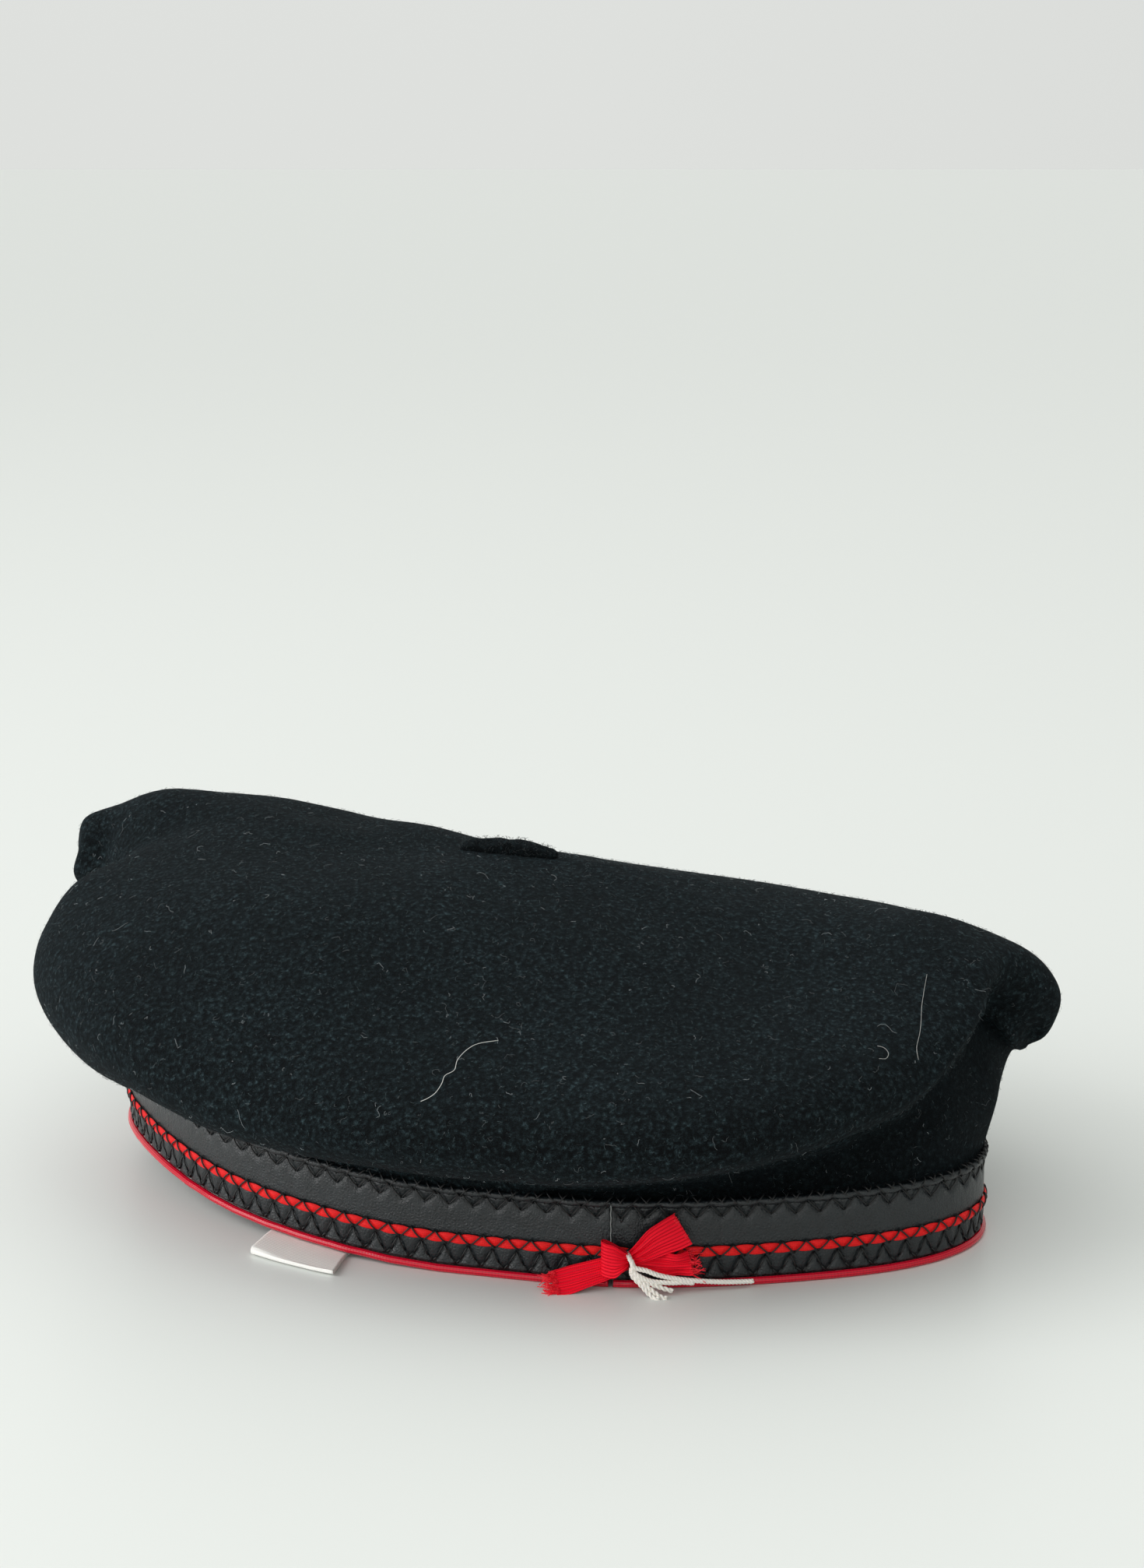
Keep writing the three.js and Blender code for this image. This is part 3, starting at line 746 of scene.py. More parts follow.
def curled(points, normals, lengths, bends, steps, stand, random, wander=0.0):
    """A path from each point: along the surface in a random direction, turning as it goes."""
    side = np.cross(normals, random.normal(size=points.shape))
    side /= np.linalg.norm(side, axis=1)[:, None]
    other = np.cross(normals, side)
    paths = [points + normals * 0.02]
    turn = random.uniform(0, 2 * math.pi, len(points))
    at = paths[0]
    for k in range(steps):
        step = (lengths / steps)[:, None]
        heading = np.cos(turn)[:, None] * side + np.sin(turn)[:, None] * other
        at = at + step * (heading + normals * stand * (1 - 1.6 * k / steps))
        paths.append(at)
        turn = turn + bends * random.uniform(0.3, 1.0, len(points))
        turn = turn + wander * random.normal(size=len(points))
    return np.stack(paths, 1)


# Long pale hairs on the felt, as pixels of the photograph
HAIRS = [
    [(541, 1416), (550, 1412), (560, 1405), (568, 1393), (572, 1383), (584, 1376), (588, 1363),
     (600, 1350), (615, 1342), (640, 1338)],
    [(1191, 1253), (1187, 1275), (1184, 1296), (1183, 1315), (1181, 1330), (1177, 1347), (1179, 1362)],
    [(1127, 1345), (1135, 1347), (1141, 1354), (1138, 1361), (1129, 1361)],
]


def on_felt(mesh, pixels):
    """A hair's path, laid on the felt where the photograph's camera sees it."""
    tree = tree_of(mesh)
    made = []
    for pixel in smooth_curve(pixels, 4):
        hit = tree.ray_cast(CAMERA_AT * MM, pixel_ray(pixel))
        if hit[0] is not None:
            made.append((hit[0] + hit[1] * HAIR_STANDS * MM) / MM)
    return made


# The three coats of loose wool, by name and brightness, of which the last covers the stalk too
COATS = [("pale wool fibre", 3.0), ("mid wool fibre", 1.0), ("dark wool fibre", 0.35)]

# Lint by name, brightness, share of the count and radius
LINT_KINDS = [("dim_lint", 0.4, 0.7, 0.017), ("pale_lint", 1.0, 0.3, 0.019)]

# How thick each of the long hairs is, as a share of the first
HAIR_WIDTHS = [1.0, 0.45, 0.5]
HAIR_RADIUS = 0.05
HAIR_STANDS = 0.4

# Real wool is 0.01 mm in radius and is drawn thicker so that it shows; the stalk has one fibre for
# so many of a coat
FIBRE_RADIUS = 0.026
STALK_FIBRE_RADIUS = 0.03
STALK_SHARE = 12


class BERET_OT_fibres(bpy.types.Operator):
    """Covers the felt with loose fibre ends, pale lint and a few long hairs"""
    bl_idname = "beret.fibres"
    bl_label = "Fibres and lint"

    def execute(self, context):
        felt = settings("felt")
        random = np.random.default_rng(SEED)
        mesh = bpy.data.objects["crown_felt"].data

        def coat_paths(skin, count, shortest, longest, stand):
            """Fibres that stand off a skin, their lengths as shares of the set one."""
            points, normals = surface_samples(skin, count, random)
            lengths = felt.fibre_length / MM * random.uniform(shortest, longest, len(points))
            bends = random.choice([-1, 1], len(points)) * random.uniform(0.4, 2.2, len(points))
            return curled(points, normals, lengths, bends, 2, stand, random)

        for coat, (name, level) in enumerate(COATS):
            wool = fibre_material(name, shade(felt.fibre_colour, level), 0.15)
            paths = coat_paths(mesh, felt.fibres, 0.5, 1.4, 0.8)
            strands(f"felt_fibres_{coat + 1}", paths, FIBRE_RADIUS, wool, sides=0)
        stub = bpy.data.objects["stalk_felt"].data
        paths = coat_paths(stub, felt.fibres // STALK_SHARE, 0.6, 1.6, 1.2)
        strands("stalk_fibres", paths, STALK_FIBRE_RADIUS, wool, sides=0)
        # lint from other cloth: undyed, so it stands out as pale curls, most of them half sunk
        for name, level, share, radius in LINT_KINDS:
            pale = fibre_material(name.replace("_", " "), shade(felt.lint_colour, level), 0.2)
            points, normals = surface_samples(mesh, int(felt.lint * share), random)
            lengths = random.gamma(2.0, 0.7, len(points)) + 0.4
            bends = random.choice([-1, 1], len(points)) * random.uniform(0.1, 1.0, len(points))
            paths = curled(points, normals, lengths, bends, 5, 0.3, random, 0.9)
            strands(name, paths, radius, pale, sides=0)
        hairs = [on_felt(mesh, row) for row in HAIRS]
        # white hair, smoother than wool, so it catches more light along its length
        white = fibre_material("long pale hair", linear("f4f4f0"), 0.3)
        radii = [np.full(len(hair), width) for hair, width in zip(hairs, HAIR_WIDTHS)]
        strands("felt_hairs", hairs, HAIR_RADIUS, white, radii=radii)
        return {"FINISHED"}


# The leather band

# Turning points of each zigzag, as (share of its pitch, height on the band)
TOP_TURNS = [(0.0, 20.1), (0.5, 16.9)]
LOW_TURNS = [(0.0, 6.9), (0.3, 3.6), (0.5, 2.3), (0.7, 3.6)]
BRAID_TURNS = [(0.0, 10.3), (0.5, 7.4)]
LOWEST_TURN = 2.3

# Where each zigzag starts, from the seam, and how unevenly it is sewn
TOP_START = -3.7
BRAID_START = -1.2
LOW_START = 0.9
TOP_JITTER = 0.22
JITTER = 0.15

# A stitch pulls the leather in as a wide dip and a narrow one, as (share of the depth, half width)
WIDE_DIP = (0.62, 0.85)
NARROW_DIP = (0.38, 0.3)

# The leather, with the bead at its upper edge, and how it is uneven: small wrinkles and slow waves
LEATHER_THICK = 0.8
BEAD_HIGH = 0.85
BEAD_PROUD = 0.8
WRINKLE = 0.06
WAVE = 0.12
BAND_STEPS = 960

# The closing seam: its gap, the place and heights of the stitches beside it, and the height from
# which its cut edge shows pale
SEAM_GAP = 0.2
SEAM_ROW_AT = 2.3
SEAM_ROW_HEIGHTS = np.arange(11.5, 20, 2.1)
SEAM_EDGE_FROM = 11
SEAM_EDGE_RADIUS = 0.13

# The braid, how deep it lies in the leather, and the spacing of its weave
BRAID_MIDDLE = 8.85
BRAID_WIDE = 2.65
BRAID_THICK = 0.9
BRAID_OUT = 0.38
BRAID_SINKS = 0.25
BRAID_BED = 1.3
BRAID_FLOAT = 0.45
BRAID_RIBS = 22

# The piping, the gap between its ends, and the spacing of its weave, which is drawn coarser than
# the real one so that it shows
PIPING_RADIUS = 0.92
PIPING_GAP = 1.2
PIPING_FLOAT = 0.8
PIPING_RIBS = 10

THREAD_RADIUS = 0.21
EDGE_THREAD_RADIUS = 0.2


def stitch_rows():
    """The three rows of zigzag: at the upper edge, over the braid, and under it."""
    pitch = settings("band").pitch / MM
    return {
        "top": Zigzag(TOP_TURNS, pitch, TOP_START + pitch / 2, TOP_JITTER, SEED),
        "braid": Zigzag(BRAID_TURNS, pitch, BRAID_START, JITTER, SEED + 1),
        "low": Zigzag(LOW_TURNS, pitch, LOW_START, JITTER, SEED + 2),
    }


def leather_relief(rows, s, up):
    """How far the leather stands out, in millimetres, pulled in along the stitches."""
    pucker = settings("band").pucker / MM
    relief = np.zeros(s.shape)
    for name in ("top", "low"):
        distance = rows[name].distance(s, up)
        wide, narrow = (share * np.exp(-(distance / half) ** 2) for share, half in (WIDE_DIP, NARROW_DIP))
        relief -= pucker * (wide + narrow)
    braid = np.exp(-((up - BRAID_MIDDLE) / BRAID_BED) ** 4)
    return relief - BRAID_SINKS * braid


def band_place(rows):
    """The leather's surface from its lower edge, over the bead and in behind it."""
    profile = np.array([[RIM.band_low - 0.1, -0.25], [RIM.band_low, 0.0]])
    rise = np.linspace(RIM.band_low + 0.4, RIM.band_high - 2 * BEAD_HIGH, 30)
    turns = np.linspace(-0.5, 0.75, 9) * math.pi
    bead = np.stack([RIM.band_high - BEAD_HIGH + BEAD_HIGH * np.sin(turns),
                     BEAD_PROUD * np.cos(turns)], 1)
    profile = np.vstack([profile, np.stack([rise, np.zeros(len(rise))], 1), bead])
    steps = np.linspace(0, 1, len(profile))

    def place(u, v):
        s = SEAM_GAP / 2 + u * (RIM.length - SEAM_GAP)
        up = np.interp(v, steps, profile[:, 0])
        out = np.interp(v, steps, profile[:, 1])
        relief = leather_relief(rows, s, up)
        wrinkle = np.array([noise.noise(Vector((a / 0.8, b / 5, 0))) for a, b in zip(s, up)])
        wave = np.array([noise.noise(Vector((a / 9, b / 9, 3))) for a, b in zip(s, up)])
        plain = np.clip((up - 2.5) / 3, 0, 1) * np.clip((RIM.band_high - 1.5 - up) / 2, 0, 1)
        out = out + relief + plain * (WRINKLE * wrinkle + WAVE * wave) + 0.12
        # the lower edge is drawn down a little at each stitch
        dip = rows["low"].distance(s, np.full(s.shape, LOWEST_TURN))
        up = up - np.where(v < 0.03, 0.35 * np.exp(-(dip / 1.2) ** 2), 0)
        return RIM.place(s, out, up)

    return place, len(profile) - 1


class BERET_OT_leather(bpy.types.Operator):
    """Makes the leather band with its bead, puckers and closing seam"""
    bl_idname = "beret.leather"
    bl_label = "Leather band"

    def execute(self, context):
        place, across = band_place(stitch_rows())
        bm = mapped_grid(BAND_STEPS, across, place, thickness=LEATHER_THICK)
        piece("band_leather", mesh_of(bm), leather_material(), ["leather_band"])
        # a thin pale line along the cut edge at the seam: painted highlight where the edge catches the light
        raw, _, _ = new_material("seam edge highlight", Base_Color=rgba(linear("8d908f")), Roughness=0.7)
        up = np.linspace(SEAM_EDGE_FROM, RIM.band_high - 0.8, 24)
        edge = RIM.place(0.05 * np.sin(np.arange(24)), 0.16, up)
        strands("band_seam_edge", [edge], SEAM_EDGE_RADIUS, raw)
        return {"FINISHED"}


class BERET_OT_braid(bpy.types.Operator):
    """Makes the woven braid, pinched by its zigzag"""
    bl_idname = "beret.braid"
    bl_label = "Braid"

    def execute(self, context):
        rows = stitch_rows()

        def place(u, v):
            s = SEAM_GAP / 2 + u * (RIM.length - SEAM_GAP)
            turn = 2 * math.pi * v
            edge = BRAID_MIDDLE + np.sign(np.cos(turn)) * BRAID_WIDE / 2
            nip = 0.3 * np.exp(-(rows["braid"].distance(s, edge) / 0.9) ** 2)
            up = BRAID_MIDDLE + BRAID_WIDE / 2 * np.cos(turn) * (1 - nip)
            distance = rows["braid"].distance(s, up)
            front = np.clip(np.sin(turn), 0, 1)
            pinch = 0.55 * np.exp(-(distance / 0.55) ** 2)
            out = BRAID_THICK / 2 * np.sin(turn) * (0.8 + 0.2 * front) - front * pinch
            return RIM.place(s, BRAID_OUT + out, up)

        bm = mapped_grid(BAND_STEPS, 16, place, tube=True)
        # spun rayon in a close weave: a full bright red with little gloss, with painted shade in its small
        # gaps
        weave = woven_material("woven rayon braid", settings("band").braid,
                               RIM.length / BRAID_FLOAT, BRAID_RIBS, 0.1, 0.5, 0.25, 0.72)
        piece("band_braid", mesh_of(bm), weave, ["red_braid"])
        return {"FINISHED"}


class BERET_OT_piping(bpy.types.Operator):
    """Makes the glossy corded piping that the hat rests on"""
    bl_idname = "beret.piping"
    bl_label = "Piping"

    def execute(self, context):
        def place(u, v):
            s = PIPING_GAP / 2 + u * (RIM.length - PIPING_GAP)
            turn = 2 * math.pi * v
            wave = np.array([noise.noise(Vector((a / 6, 0, 5))) for a in s])
            out = PIPING_RADIUS * np.cos(turn) + 0.1 * wave
            return RIM.place(s, out, PIPING_RADIUS * (1 + np.sin(turn)))

        bm = mapped_grid(BAND_STEPS, 14, place, tube=True)
        # long smooth floats drawn tight over a cord: deep crimson with a narrow bright gloss
        satin = woven_material("satin piping", settings("band").piping,
                               RIM.length / PIPING_FLOAT, PIPING_RIBS, 0.0, 0.14, 0.4)
        piece("band_piping", mesh_of(bm), satin, ["red_piping"])
        return {"FINISHED"}


# Sewing thread

def leg_path(a, b, out, arch, steps=5):
    """A thread that leaves the leather at one hole, arches over it and goes in at the next."""
    share = np.linspace(0, 1, steps + 1)
    s = a[0] + (b[0] - a[0]) * share
    up = a[1] + (b[1] - a[1]) * share
    rise = out + arch * np.sin(math.pi * share) - 0.35 * (1 - np.sin(math.pi * share))
    return RIM.place(s, rise, up)


def leg_paths(turns, out, arch, steps=5):
    """The legs of a whole zigzag, the last of which goes back to the first turn."""
    ahead = np.vstack([turns[1:], turns[:1] + np.array([RIM.length, 0])])
    return [leg_path(a, b, out, arch, steps) for a, b in zip(turns, ahead)]


# A stitch over the bead, in millimetres along the band, out of it and up
OVER_BEAD = np.array([(-1.6, -0.1, 19.3), (-0.9, 0.55, 20.2), (-0.1, 0.85, 20.95), (0.6, 0.45, 21.7),
                      (1.1, -0.5, 21.9)])


class BERET_OT_stitches(bpy.types.Operator):
    """Sews the zigzag rows and the closing seam"""
    bl_idname = "beret.stitches"
    bl_label = "Stitches"

    def execute(self, context):
        band = settings("band")
        # hard-twisted filament: near black, with a thin dull gleam along each stitch
        made, _, _ = new_material("polyester sewing thread", Base_Color=rgba(band.thread),
                                  Roughness=0.5, Sheen_Weight=0.05, Sheen_Tint=rgba(linear("6c747a")))
        rows = stitch_rows()
        random = np.random.default_rng(SEED + 3)
        pitch = band.pitch / MM
        top = rows["top"].turns
        paths = leg_paths(top, 0.0, 0.2)
        for k, s in enumerate(np.arange(top[0][0], top[0][0] + RIM.length - 2, pitch / 2)):
            for way in (-1, 1) if k % 2 else (random.choice([-1, 1]),):
                reach = random.uniform(0.8, 1.15)
                paths.append(RIM.place(s + way * reach * OVER_BEAD[:, 0], OVER_BEAD[:, 1],
                                       OVER_BEAD[:, 2] + random.uniform(-0.2, 0.3)))
        strands("stitches_edge", paths, EDGE_THREAD_RADIUS, made)
        paths = leg_paths(rows["braid"].turns, 0.75, 0.16)
        strands("stitches_braid", paths, THREAD_RADIUS, made)
        paths = leg_paths(rows["low"].turns, 0.0, 0.1, 3)
        strands("stitches_low", paths, THREAD_RADIUS, made)
        seam = [(SEAM_ROW_AT, up) for up in SEAM_ROW_HEIGHTS]
        paths = [leg_path(a, (a[0] + 0.5, a[1] + 1.7), -0.05, 0.12) for a in seam]
        strands("stitches_seam", paths, THREAD_RADIUS, made)
        return {"FINISHED"}


# The stage

def add_camera(scene):
    """The camera at the photograph's viewing angle."""
    camera = bpy.data.cameras.new("camera")
    camera.sensor_fit = "VERTICAL"
    camera.sensor_height = SENSOR_MM
    camera.lens = SENSOR_MM * FOCAL_PIXELS / IMAGE_HEIGHT
    camera.clip_start = 0.01
    holder = bpy.data.objects.new("camera", camera)
    holder.location = CAMERA_AT * MM
    holder.rotation_euler = (math.radians(90 - CAMERA_PITCH), 0, 0)
    scene.collection.objects.link(holder)
    scene.camera = holder


def add_floor(scene, colour):
    """A wide pale floor at the height that the hat rests on."""
    bm = bmesh.new()
    bmesh.ops.create_grid(bm, x_segments=1, y_segments=1, size=FLOOR_HALF)
    mesh = bpy.data.meshes.new("floor")
    bm.to_mesh(mesh)
    bm.free()
    # coated card: an even pale grey, matt, with a broad faint reflection of the backdrop
    card, _, _ = new_material("matt board", Base_Color=rgba(colour), Roughness=0.4,
                              Specular_IOR_Level=0.25)
    mesh.materials.append(card)
    floor = bpy.data.objects.new("floor", mesh)
    scene.collection.objects.link(floor)


def add_backdrop(scene, horizon, fill):
    """A soft backdrop all round, lighter at the left, that meets the far floor without a line."""
    world = bpy.data.worlds.new("studio")
    world.use_nodes = True
    tree = world.node_tree
    sky = tree.nodes["Background"]
    way = add_node(tree, "SeparateXYZ", {"Vector": add_node(tree, "TexCoord").outputs["Generated"]})
    share = add_node(tree, "MapRange", {"Value": way.outputs["X"], "From Min": -1.0, "From Max": 1.0})
    # at the horizon it is as bright as the far floor, and a little brighter above
    level = add_node(tree, "MapRange", {"Value": way.outputs["Z"], "From Min": 0.0, "From Max": 0.3,
                                        "To Min": horizon, "To Max": fill},
                     interpolation_type="SMOOTHSTEP")
    tone = ramp(tree, share.outputs[0], [(at, linear(colour)) for at, colour in BACKDROP])
    tree.links.new(tone, sky.inputs["Color"])
    tree.links.new(level.outputs[0], sky.inputs["Strength"])
    scene.world = world


def add_light(name, kind, strength, turn, place=(0, 0, 0)):
    """Links a light that shines along its own -Z, and returns its settings."""
    light = bpy.data.lights.new(name, kind)
    light.energy = strength
    holder = bpy.data.objects.new(name, light)
    holder.location = place
    holder.rotation_euler = turn.to_euler()
    bpy.context.scene.collection.objects.link(holder)
    return light


class BERET_OT_stage(bpy.types.Operator):
    """Sets the camera, the pale floor and the soft studio light"""
    bl_idname = "beret.stage"
    bl_label = "Stage"

    def execute(self, context):
        scene = context.scene
        stage = settings("stage")
        add_camera(scene)
        add_floor(scene, stage.floor)
        add_backdrop(scene, stage.horizon, stage.fill)
        scene.view_settings.view_transform = "Standard"
        daylight = add_light("daylight", "SUN", stage.daylight, Vector(SKY_FROM).to_track_quat("Z", "Y"))
        daylight.angle = math.radians(SKY_SPREAD)
        aim = Vector(WINDOW_AIM) - Vector(WINDOW_AT)
        window = add_light("window", "AREA", stage.window, aim.to_track_quat("-Z", "Y"), WINDOW_AT)
        window.shape = "RECTANGLE"
        window.size = window.size_y = WINDOW_SIZE
        return {"FINISHED"}


# The label, the bow and the twine are made beside the seam

# The knot's place along the band, and how much lower all of the bow lies than its stations say
BOW_AT = 4.4
BOW_DROP = 1.0
RIBBON_WIDTH = 8.5
RIBBON_THICK = 0.28
RIBBON_FLOATS = 45
RIB_COUNT = 10
RIB_HIGH = 0.1
PLEATS = 3.0


def ribbon_place(stations, pleats):
    """A ribbon through stations, with its width leaning its own way, pleated towards the knot."""
    rows = smooth_curve(stations, 12)
    share = np.linspace(0, 1, len(rows))

    def place(u, v):
        row = np.stack([np.interp(u, share, rows[:, k]) for k in range(rows.shape[1])], 1)
        middle, lean, width = row[:, :3], row[:, 3:6], row[:, 6]
        lean = lean / np.linalg.norm(lean, axis=1)[:, None]
        local = middle + lean * ((v - 0.5) * width)[:, None]
        gathered = np.clip(1.15 - width / RIBBON_WIDTH, 0, 1)
        local[:, 1] += pleats * gathered * np.sin(2 * math.pi * PLEATS * v + 1.2 * u)
        local[:, 1] += RIB_HIGH * np.cos(2 * math.pi * RIB_COUNT * v)
        return RIM.place(BOW_AT + local[:, 0], local[:, 1], local[:, 2] - BOW_DROP)

    return place


# Each strip of the bow, as the depth of its pleats and its stations from the knot outward, each in
# millimetres along the band from the knot, out of it and up, then the direction its width leans in
# the same three ways, then its width
BOW_STRIPS = {
    "bow_end_lower": (0.5, [
        (0, 1.7, 8.4, -0.1, 0, 1, 2.8), (2.9, 2.1, 8.1, -0.15, 0.3, 1, 4.2),
        (6.9, 1.8, 7.7, -0.2, -0.3, 0.95, 5.8), (10.8, 2.3, 7.7, -0.1, 0.4, 1, 6.4),
        (14.0, 1.9, 7.8, -0.25, -0.2, 0.95, 6.0)]),
    "bow_tail": (0.5, [
        (-0.2, 1.9, 7.8, 0, 0, 1, 3.0), (-3.9, 2.0, 6.6, 0.1, -0.2, 1, 5.2),
        (-9.4, 3.2, 5.0, 0.1, -0.5, 0.9, 6.4), (-13.6, 4.2, 3.7, -0.2, -0.6, 0.8, 6.6),
        (-16.6, 5.0, 3.1, -0.35, -0.6, 0.7, 6.0)]),
    "bow_end_upper": (0.7, [
        (0, 2.2, 9.0, -0.1, 0, 1, 2.9), (2.4, 2.9, 10.6, -0.35, 0.1, 0.95, 4.9),
        (6.0, 3.2, 13.2, -0.5, 0.15, 0.86, 7.4), (9.2, 3.1, 14.9, -0.5, 0.1, 0.87, 8.3),
        (12.2, 2.6, 16.4, -0.5, 0, 0.88, 8.5)]),
    "bow_loop": (0.5, [
        (-0.3, 2.9, 8.7, 0, 0, 1, 2.9), (-1.5, 3.9, 8.7, 0, 0, 1, 5.0), (-3.2, 4.4, 8.8, 0, 0.05, 1, 7.9),
        (-5.2, 4.1, 9.1, 0, 0.1, 1, 8.5), (-6.3, 2.9, 9.3, 0, 0.05, 1, 8.5),
        (-5.4, 1.8, 9.2, 0, 0, 1, 8.5), (-2.6, 1.5, 8.9, 0, 0, 1, 6.0), (0, 1.6, 8.7, 0, 0, 1, 3.0)]),
}

# The cut ends that fray, as strip, count of threads, their length, and how far they spread
FRAYS = [("bow_tail", 130, 2.6, 0.28), ("bow_end_lower", 60, 2.6, 0.35), ("bow_end_upper", 26, 0.9, 0.15)]
FRAY_RADIUS = 0.09

# The twine, as places in the same three ways from the knot
TWINE_WRAP = [(-0.4, 1.2, 9.9), (-0.1, 3.2, 9.8), (0.5, 4.5, 9.0), (0.8, 4.9, 7.8), (0.4, 4.7, 6.5),
              (0.7, 3.6, 5.7), (1.1, 1.6, 5.5)]
TWINE_TAILS = [
    [(0.5, 4.4, 9.2), (0.9, 4.9, 7.9), (3.9, 5.0, 7.1), (6.4, 5.0, 6.1), (10, 4.6, 5.1), (13.3, 4.2, 4.4),
     (18.0, 3.6, 3.7), (23.5, 3.0, 3.1), (28.6, 2.5, 2.8)],
    [(0.3, 4.4, 7.6), (1.4, 5.0, 6.3), (4.6, 5.2, 4.7), (8.9, 4.8, 4.1), (12.0, 4.4, 4.0), (14.5, 4.1, 3.6)],
]
TWINE_ENDS = [
    [(0.4, 4.4, 7.2), (0.7, 4.7, 5.6), (2.7, 5.4, 3.6), (4.9, 6.7, 1.6), (7.0, 7.8, 0.6)],
    [(0.3, 4.3, 7.4), (1.1, 4.8, 5.5), (3.5, 5.5, 3.8), (6.3, 6.6, 1.9), (8.7, 7.4, 0.7)],
    [(0.3, 4.3, 7.6), (1.4, 4.9, 5.9), (4.3, 5.2, 4.2), (7.2, 5.4, 3.1), (9.9, 5.2, 2.2)],
]

# Length of one turn of the plies, and the least height of a loose thread's middle over the floor
TWINE_PITCH = 2.6
LOWEST_THREAD = 0.25


def by_knot(points):
    """Points given from the knot, as places on the table."""
    points = np.asarray(points, float)
    height = np.maximum(points[:, 2] - BOW_DROP, LOWEST_THREAD)
    return RIM.place(BOW_AT + points[:, 0], points[:, 1], height)


def twisted(path, radius, plies=3):
    """Plies laid round a path."""
    step = np.linalg.norm(np.diff(path, axis=0), axis=1)
    travelled = np.r_[0, np.cumsum(step)]
    fine = np.arange(0, travelled[-1], TWINE_PITCH / 9)
    path = np.stack([np.interp(fine, travelled, path[:, a]) for a in range(3)], 1)
    ahead = np.gradient(path, axis=0)
    ahead /= np.linalg.norm(ahead, axis=1)[:, None]
    side = np.cross(ahead, (0.1, 0.2, 1.0))
    side /= np.linalg.norm(side, axis=1)[:, None]
    other = np.cross(ahead, side)
    made = []
    for ply in range(plies):
        turn = 2 * math.pi * (fine / TWINE_PITCH + ply / plies)
        made.append(path + radius * (np.cos(turn)[:, None] * side + np.sin(turn)[:, None] * other))
    return made


def frayed(stations, count, length, spread, random):
    """Loose threads that go on past a ribbon's cut end."""
    end, before = np.array(stations[-1]), np.array(stations[-2])
    ahead = (end - before)[:3]
    ahead /= np.linalg.norm(ahead)
    lean = end[3:6] / np.linalg.norm(end[3:6])
    made = []
    for v in np.sort(random.uniform(-0.5, 0.5, count)):
        at = end[:3] + lean * v * end[6] - 0.8 * ahead
        heading = ahead + random.normal(size=3) * spread
        points = [at]
        for _ in range(4):
            at = at + heading * length * random.uniform(0.15, 0.3)
            at[2] = max(at[2], 0.15)
            heading = heading + random.normal(size=3) * spread
            points.append(at)
        made.append(by_knot(points))
    return made


class BERET_OT_bow(bpy.types.Operator):
    """Ties the ribbon bow over the seam"""
    bl_idname = "beret.bow"
    bl_label = "Ribbon bow"

    def execute(self, context):
        bow = settings("bow")
        random = np.random.default_rng(SEED + 4)
        # rayon woven with raised ribs: a flat, strong red, dull on top, with painted shade between the ribs,
        # which are drawn 0.85 mm apart so that they show
        rayon = woven_material("ribbed rayon ribbon", bow.ribbon, RIBBON_FLOATS, RIB_COUNT, 0.05, 0.55,
                               0.15)
        for name, (pleats, stations) in BOW_STRIPS.items():
            bm = mapped_grid(60, 64, ribbon_place(stations, pleats), thickness=RIBBON_THICK)
            piece(name, mesh_of(bm), rayon, ["ribbon_bow"] if name == "bow_loop" else [])
        # the same yarn out of its weave: single bright threads with a soft gleam
        bare, _, _ = new_material("loose rayon thread", Base_Color=rgba(bow.ribbon), Roughness=0.5)
        paths = []
        for name, count, length, spread in FRAYS:
            paths += frayed(BOW_STRIPS[name][1], count, length, spread, random)
        strands("bow_fray", paths, FRAY_RADIUS, bare)
        return {"FINISHED"}


class BERET_OT_twine(bpy.types.Operator):
    """Winds the white twisted thread round the knot and lets its ends lie"""
    bl_idname = "beret.twine"
    bl_label = "Twine"

    def execute(self, context):
        bow = settings("bow")
        radius = bow.twine_width / MM / 4
        # spun cotton, soft and fluffy: matt white, with shadows that light fills from within
        cotton, tree, shader = new_material(
            "twisted cotton thread", Base_Color=rgba(bow.twine), Roughness=0.7, Sheen_Weight=0.3,
            Subsurface_Weight=0.2, Subsurface_Radius=(0.6 * MM, 0.5 * MM, 0.4 * MM))
        at = add_node(tree, "TexCoord").outputs["Object"]
        fluff = add_node(tree, "TexNoise", {"Vector": at, "Scale": 1 / (0.3 * MM), "Detail": 2.0})
        bump(tree, shader, fluff.outputs["Fac"], 0.4, 0.1 * MM)
        paths = twisted(by_knot(smooth_curve(TWINE_WRAP, 8)), radius)
        for tail in TWINE_TAILS:
            paths += twisted(by_knot(smooth_curve(tail, 10)), radius)
        for end in TWINE_ENDS:
            paths += twisted(by_knot(smooth_curve(end, 10)), radius, 2)
        strands("bow_twine", paths, radius * 1.1, cotton, sides=2)
        return {"FINISHED"}


# The label's length along the band, how far it comes out and how much further at one end, how far
# it is moved along and leans, how far it goes in under the band, and its thickness
LABEL_LENGTH = 22.5
LABEL_REACH = 11.5
LABEL_SLANT = 0.6
LABEL_SHIFT = 1.6
LABEL_SHEAR = 0.25
LABEL_INSIDE = 6.0
LABEL_THICK = 0.22
LABEL_THREADS = 60

# Shares of the tape at which its profile turns: from the hat's inside along the table, round the
# fold, and back up under the piping
LABEL_STOPS = [0, 0.4, 0.47, 0.53, 0.6, 0.78, 1]


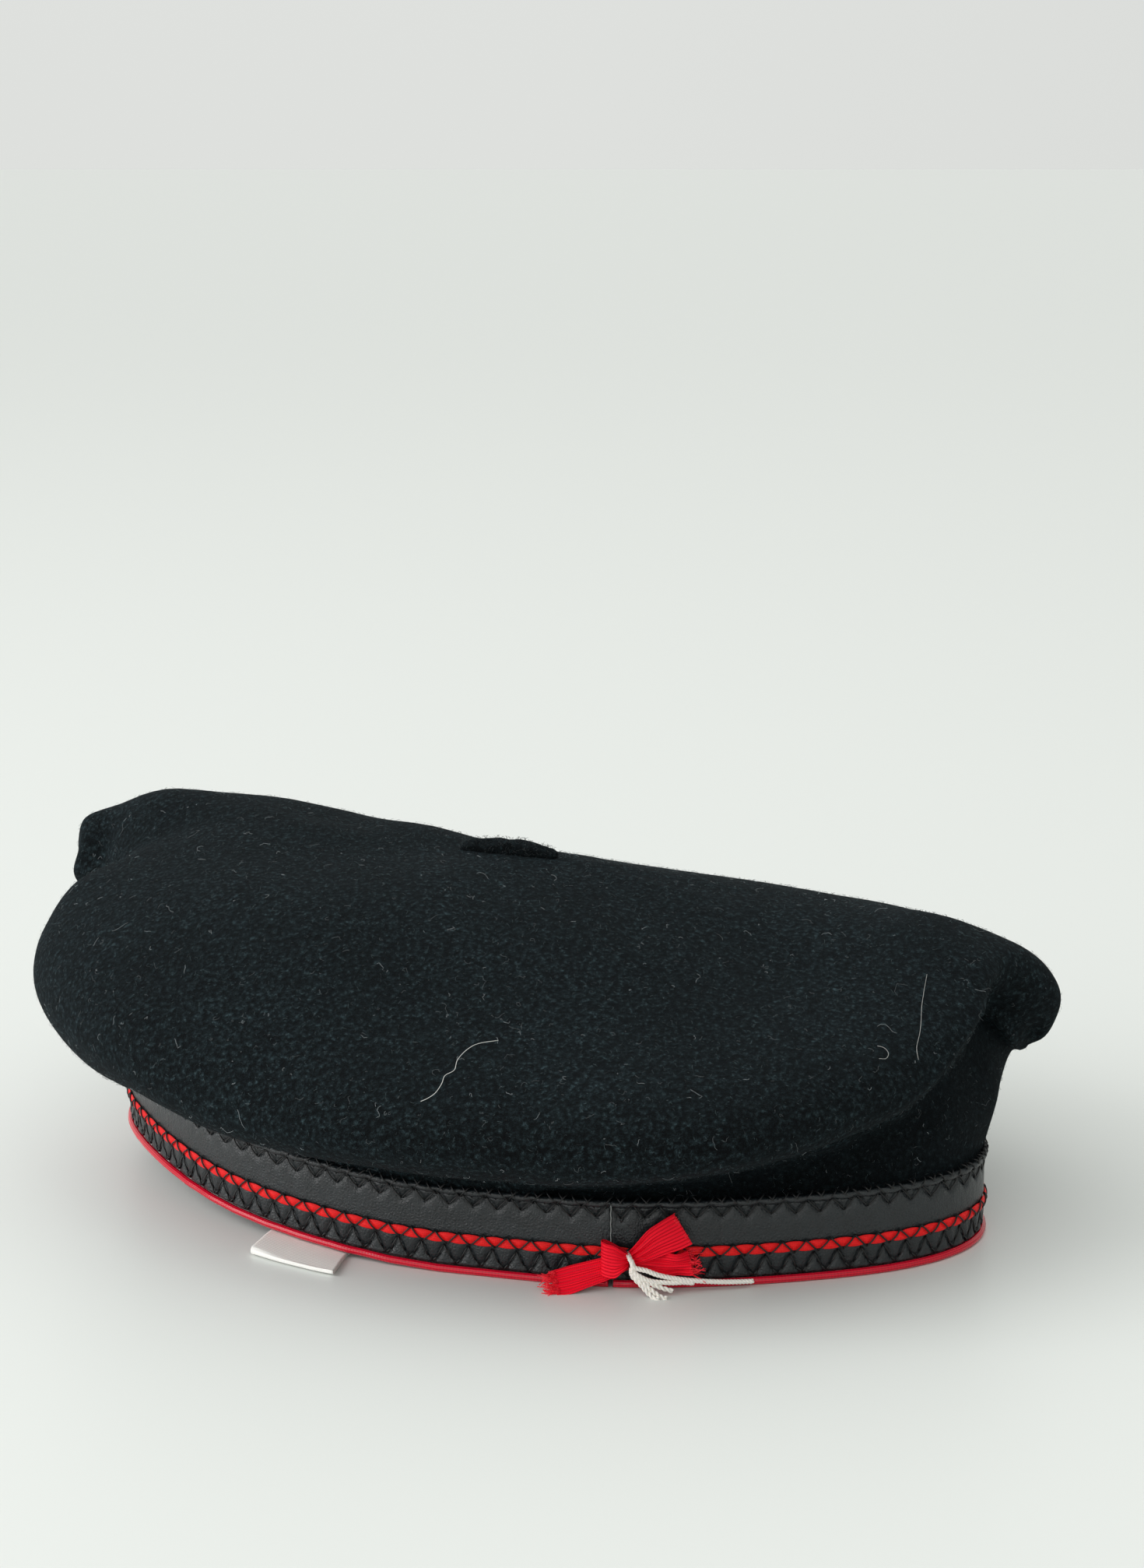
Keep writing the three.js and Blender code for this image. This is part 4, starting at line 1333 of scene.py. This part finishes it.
class BERET_OT_label(bpy.types.Operator):
    """Folds the bare tape label that comes out under the band"""
    bl_idname = "beret.label"
    bl_label = "Label"

    def execute(self, context):
        low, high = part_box("care_label")
        middle = np.array((low + high)[:2]) / 2 / MM
        at = RIM.at[np.argmin(np.linalg.norm(RIM.xy - middle, axis=1))]

        def place(u, v):
            s = at + LABEL_SHIFT + (u - 0.5) * LABEL_LENGTH
            under = np.interp(s, RIM.at, RIM.lift) - 0.45
            reach = LABEL_REACH + LABEL_SLANT * (2 * u - 1)
            out = np.array([np.interp(b, LABEL_STOPS, [-LABEL_INSIDE, a - 1.2, a - 0.1, a, a - 0.7, 2.4,
                                                       -LABEL_INSIDE]) for a, b in zip(reach, v)])
            up = np.array([np.interp(b, LABEL_STOPS, [0.3, 0.3, 0.6, 1.6, 0.5 + 0.6 * a, a - 0.1, a])
                           for a, b in zip(under, v)])
            spot = RIM.place(s + LABEL_SHEAR * np.clip(out, 0, None), out, 0)
            wave = 0.18 * np.sin(5 * u + 3 * v) * np.clip(1 - abs(v - 0.6) * 4, 0, 1)
            spot[:, 2] = up + wave
            return spot

        # fine satin-woven tape: clean white, smooth, with a low gloss and hardly any weave to see;
        # threads of 0.1 mm are drawn at 0.4 mm
        tape = woven_material("satin tape", settings("bow").label, LABEL_THREADS, LABEL_THREADS, 0.2,
                              0.38, 0.4, 0.9)
        bm = mapped_grid(40, 60, place, thickness=LABEL_THICK)
        piece("label_tape", mesh_of(bm), tape, ["care_label"])
        return {"FINISHED"}


class BERET_PT_panel(bpy.types.Panel):
    """Lists the steps that make the beret"""
    bl_label = "Felt beret"
    bl_space_type = "VIEW_3D"
    bl_region_type = "UI"
    bl_category = "Beret"

    def draw(self, context):
        for step in STEPS:
            self.layout.operator(step.bl_idname)


GROUPS = {"felt": FeltSettings, "band": BandSettings, "bow": BowSettings, "stage": StageSettings}
STEPS = [BERET_OT_stage, BERET_OT_crown, BERET_OT_stalk, BERET_OT_leather, BERET_OT_braid,
         BERET_OT_piping, BERET_OT_stitches, BERET_OT_label, BERET_OT_bow, BERET_OT_twine,
         BERET_OT_fibres]


def register():
    """Adds the settings, the operators and the panel."""
    for kind in [*GROUPS.values(), *STEPS, BERET_PT_panel]:
        bpy.utils.register_class(kind)
    for name, kind in GROUPS.items():
        setattr(bpy.types.Scene, "beret_" + name, bpy.props.PointerProperty(type=kind))


def unregister():
    """Takes them away again."""
    for name in GROUPS:
        delattr(bpy.types.Scene, "beret_" + name)
    for kind in reversed([*GROUPS.values(), *STEPS, BERET_PT_panel]):
        bpy.utils.unregister_class(kind)


def main():
    """Runs every step in order."""
    register()
    for step in STEPS:
        group, name = step.bl_idname.split(".")
        getattr(getattr(bpy.ops, group), name)()


if __name__ == "__main__":
    main()
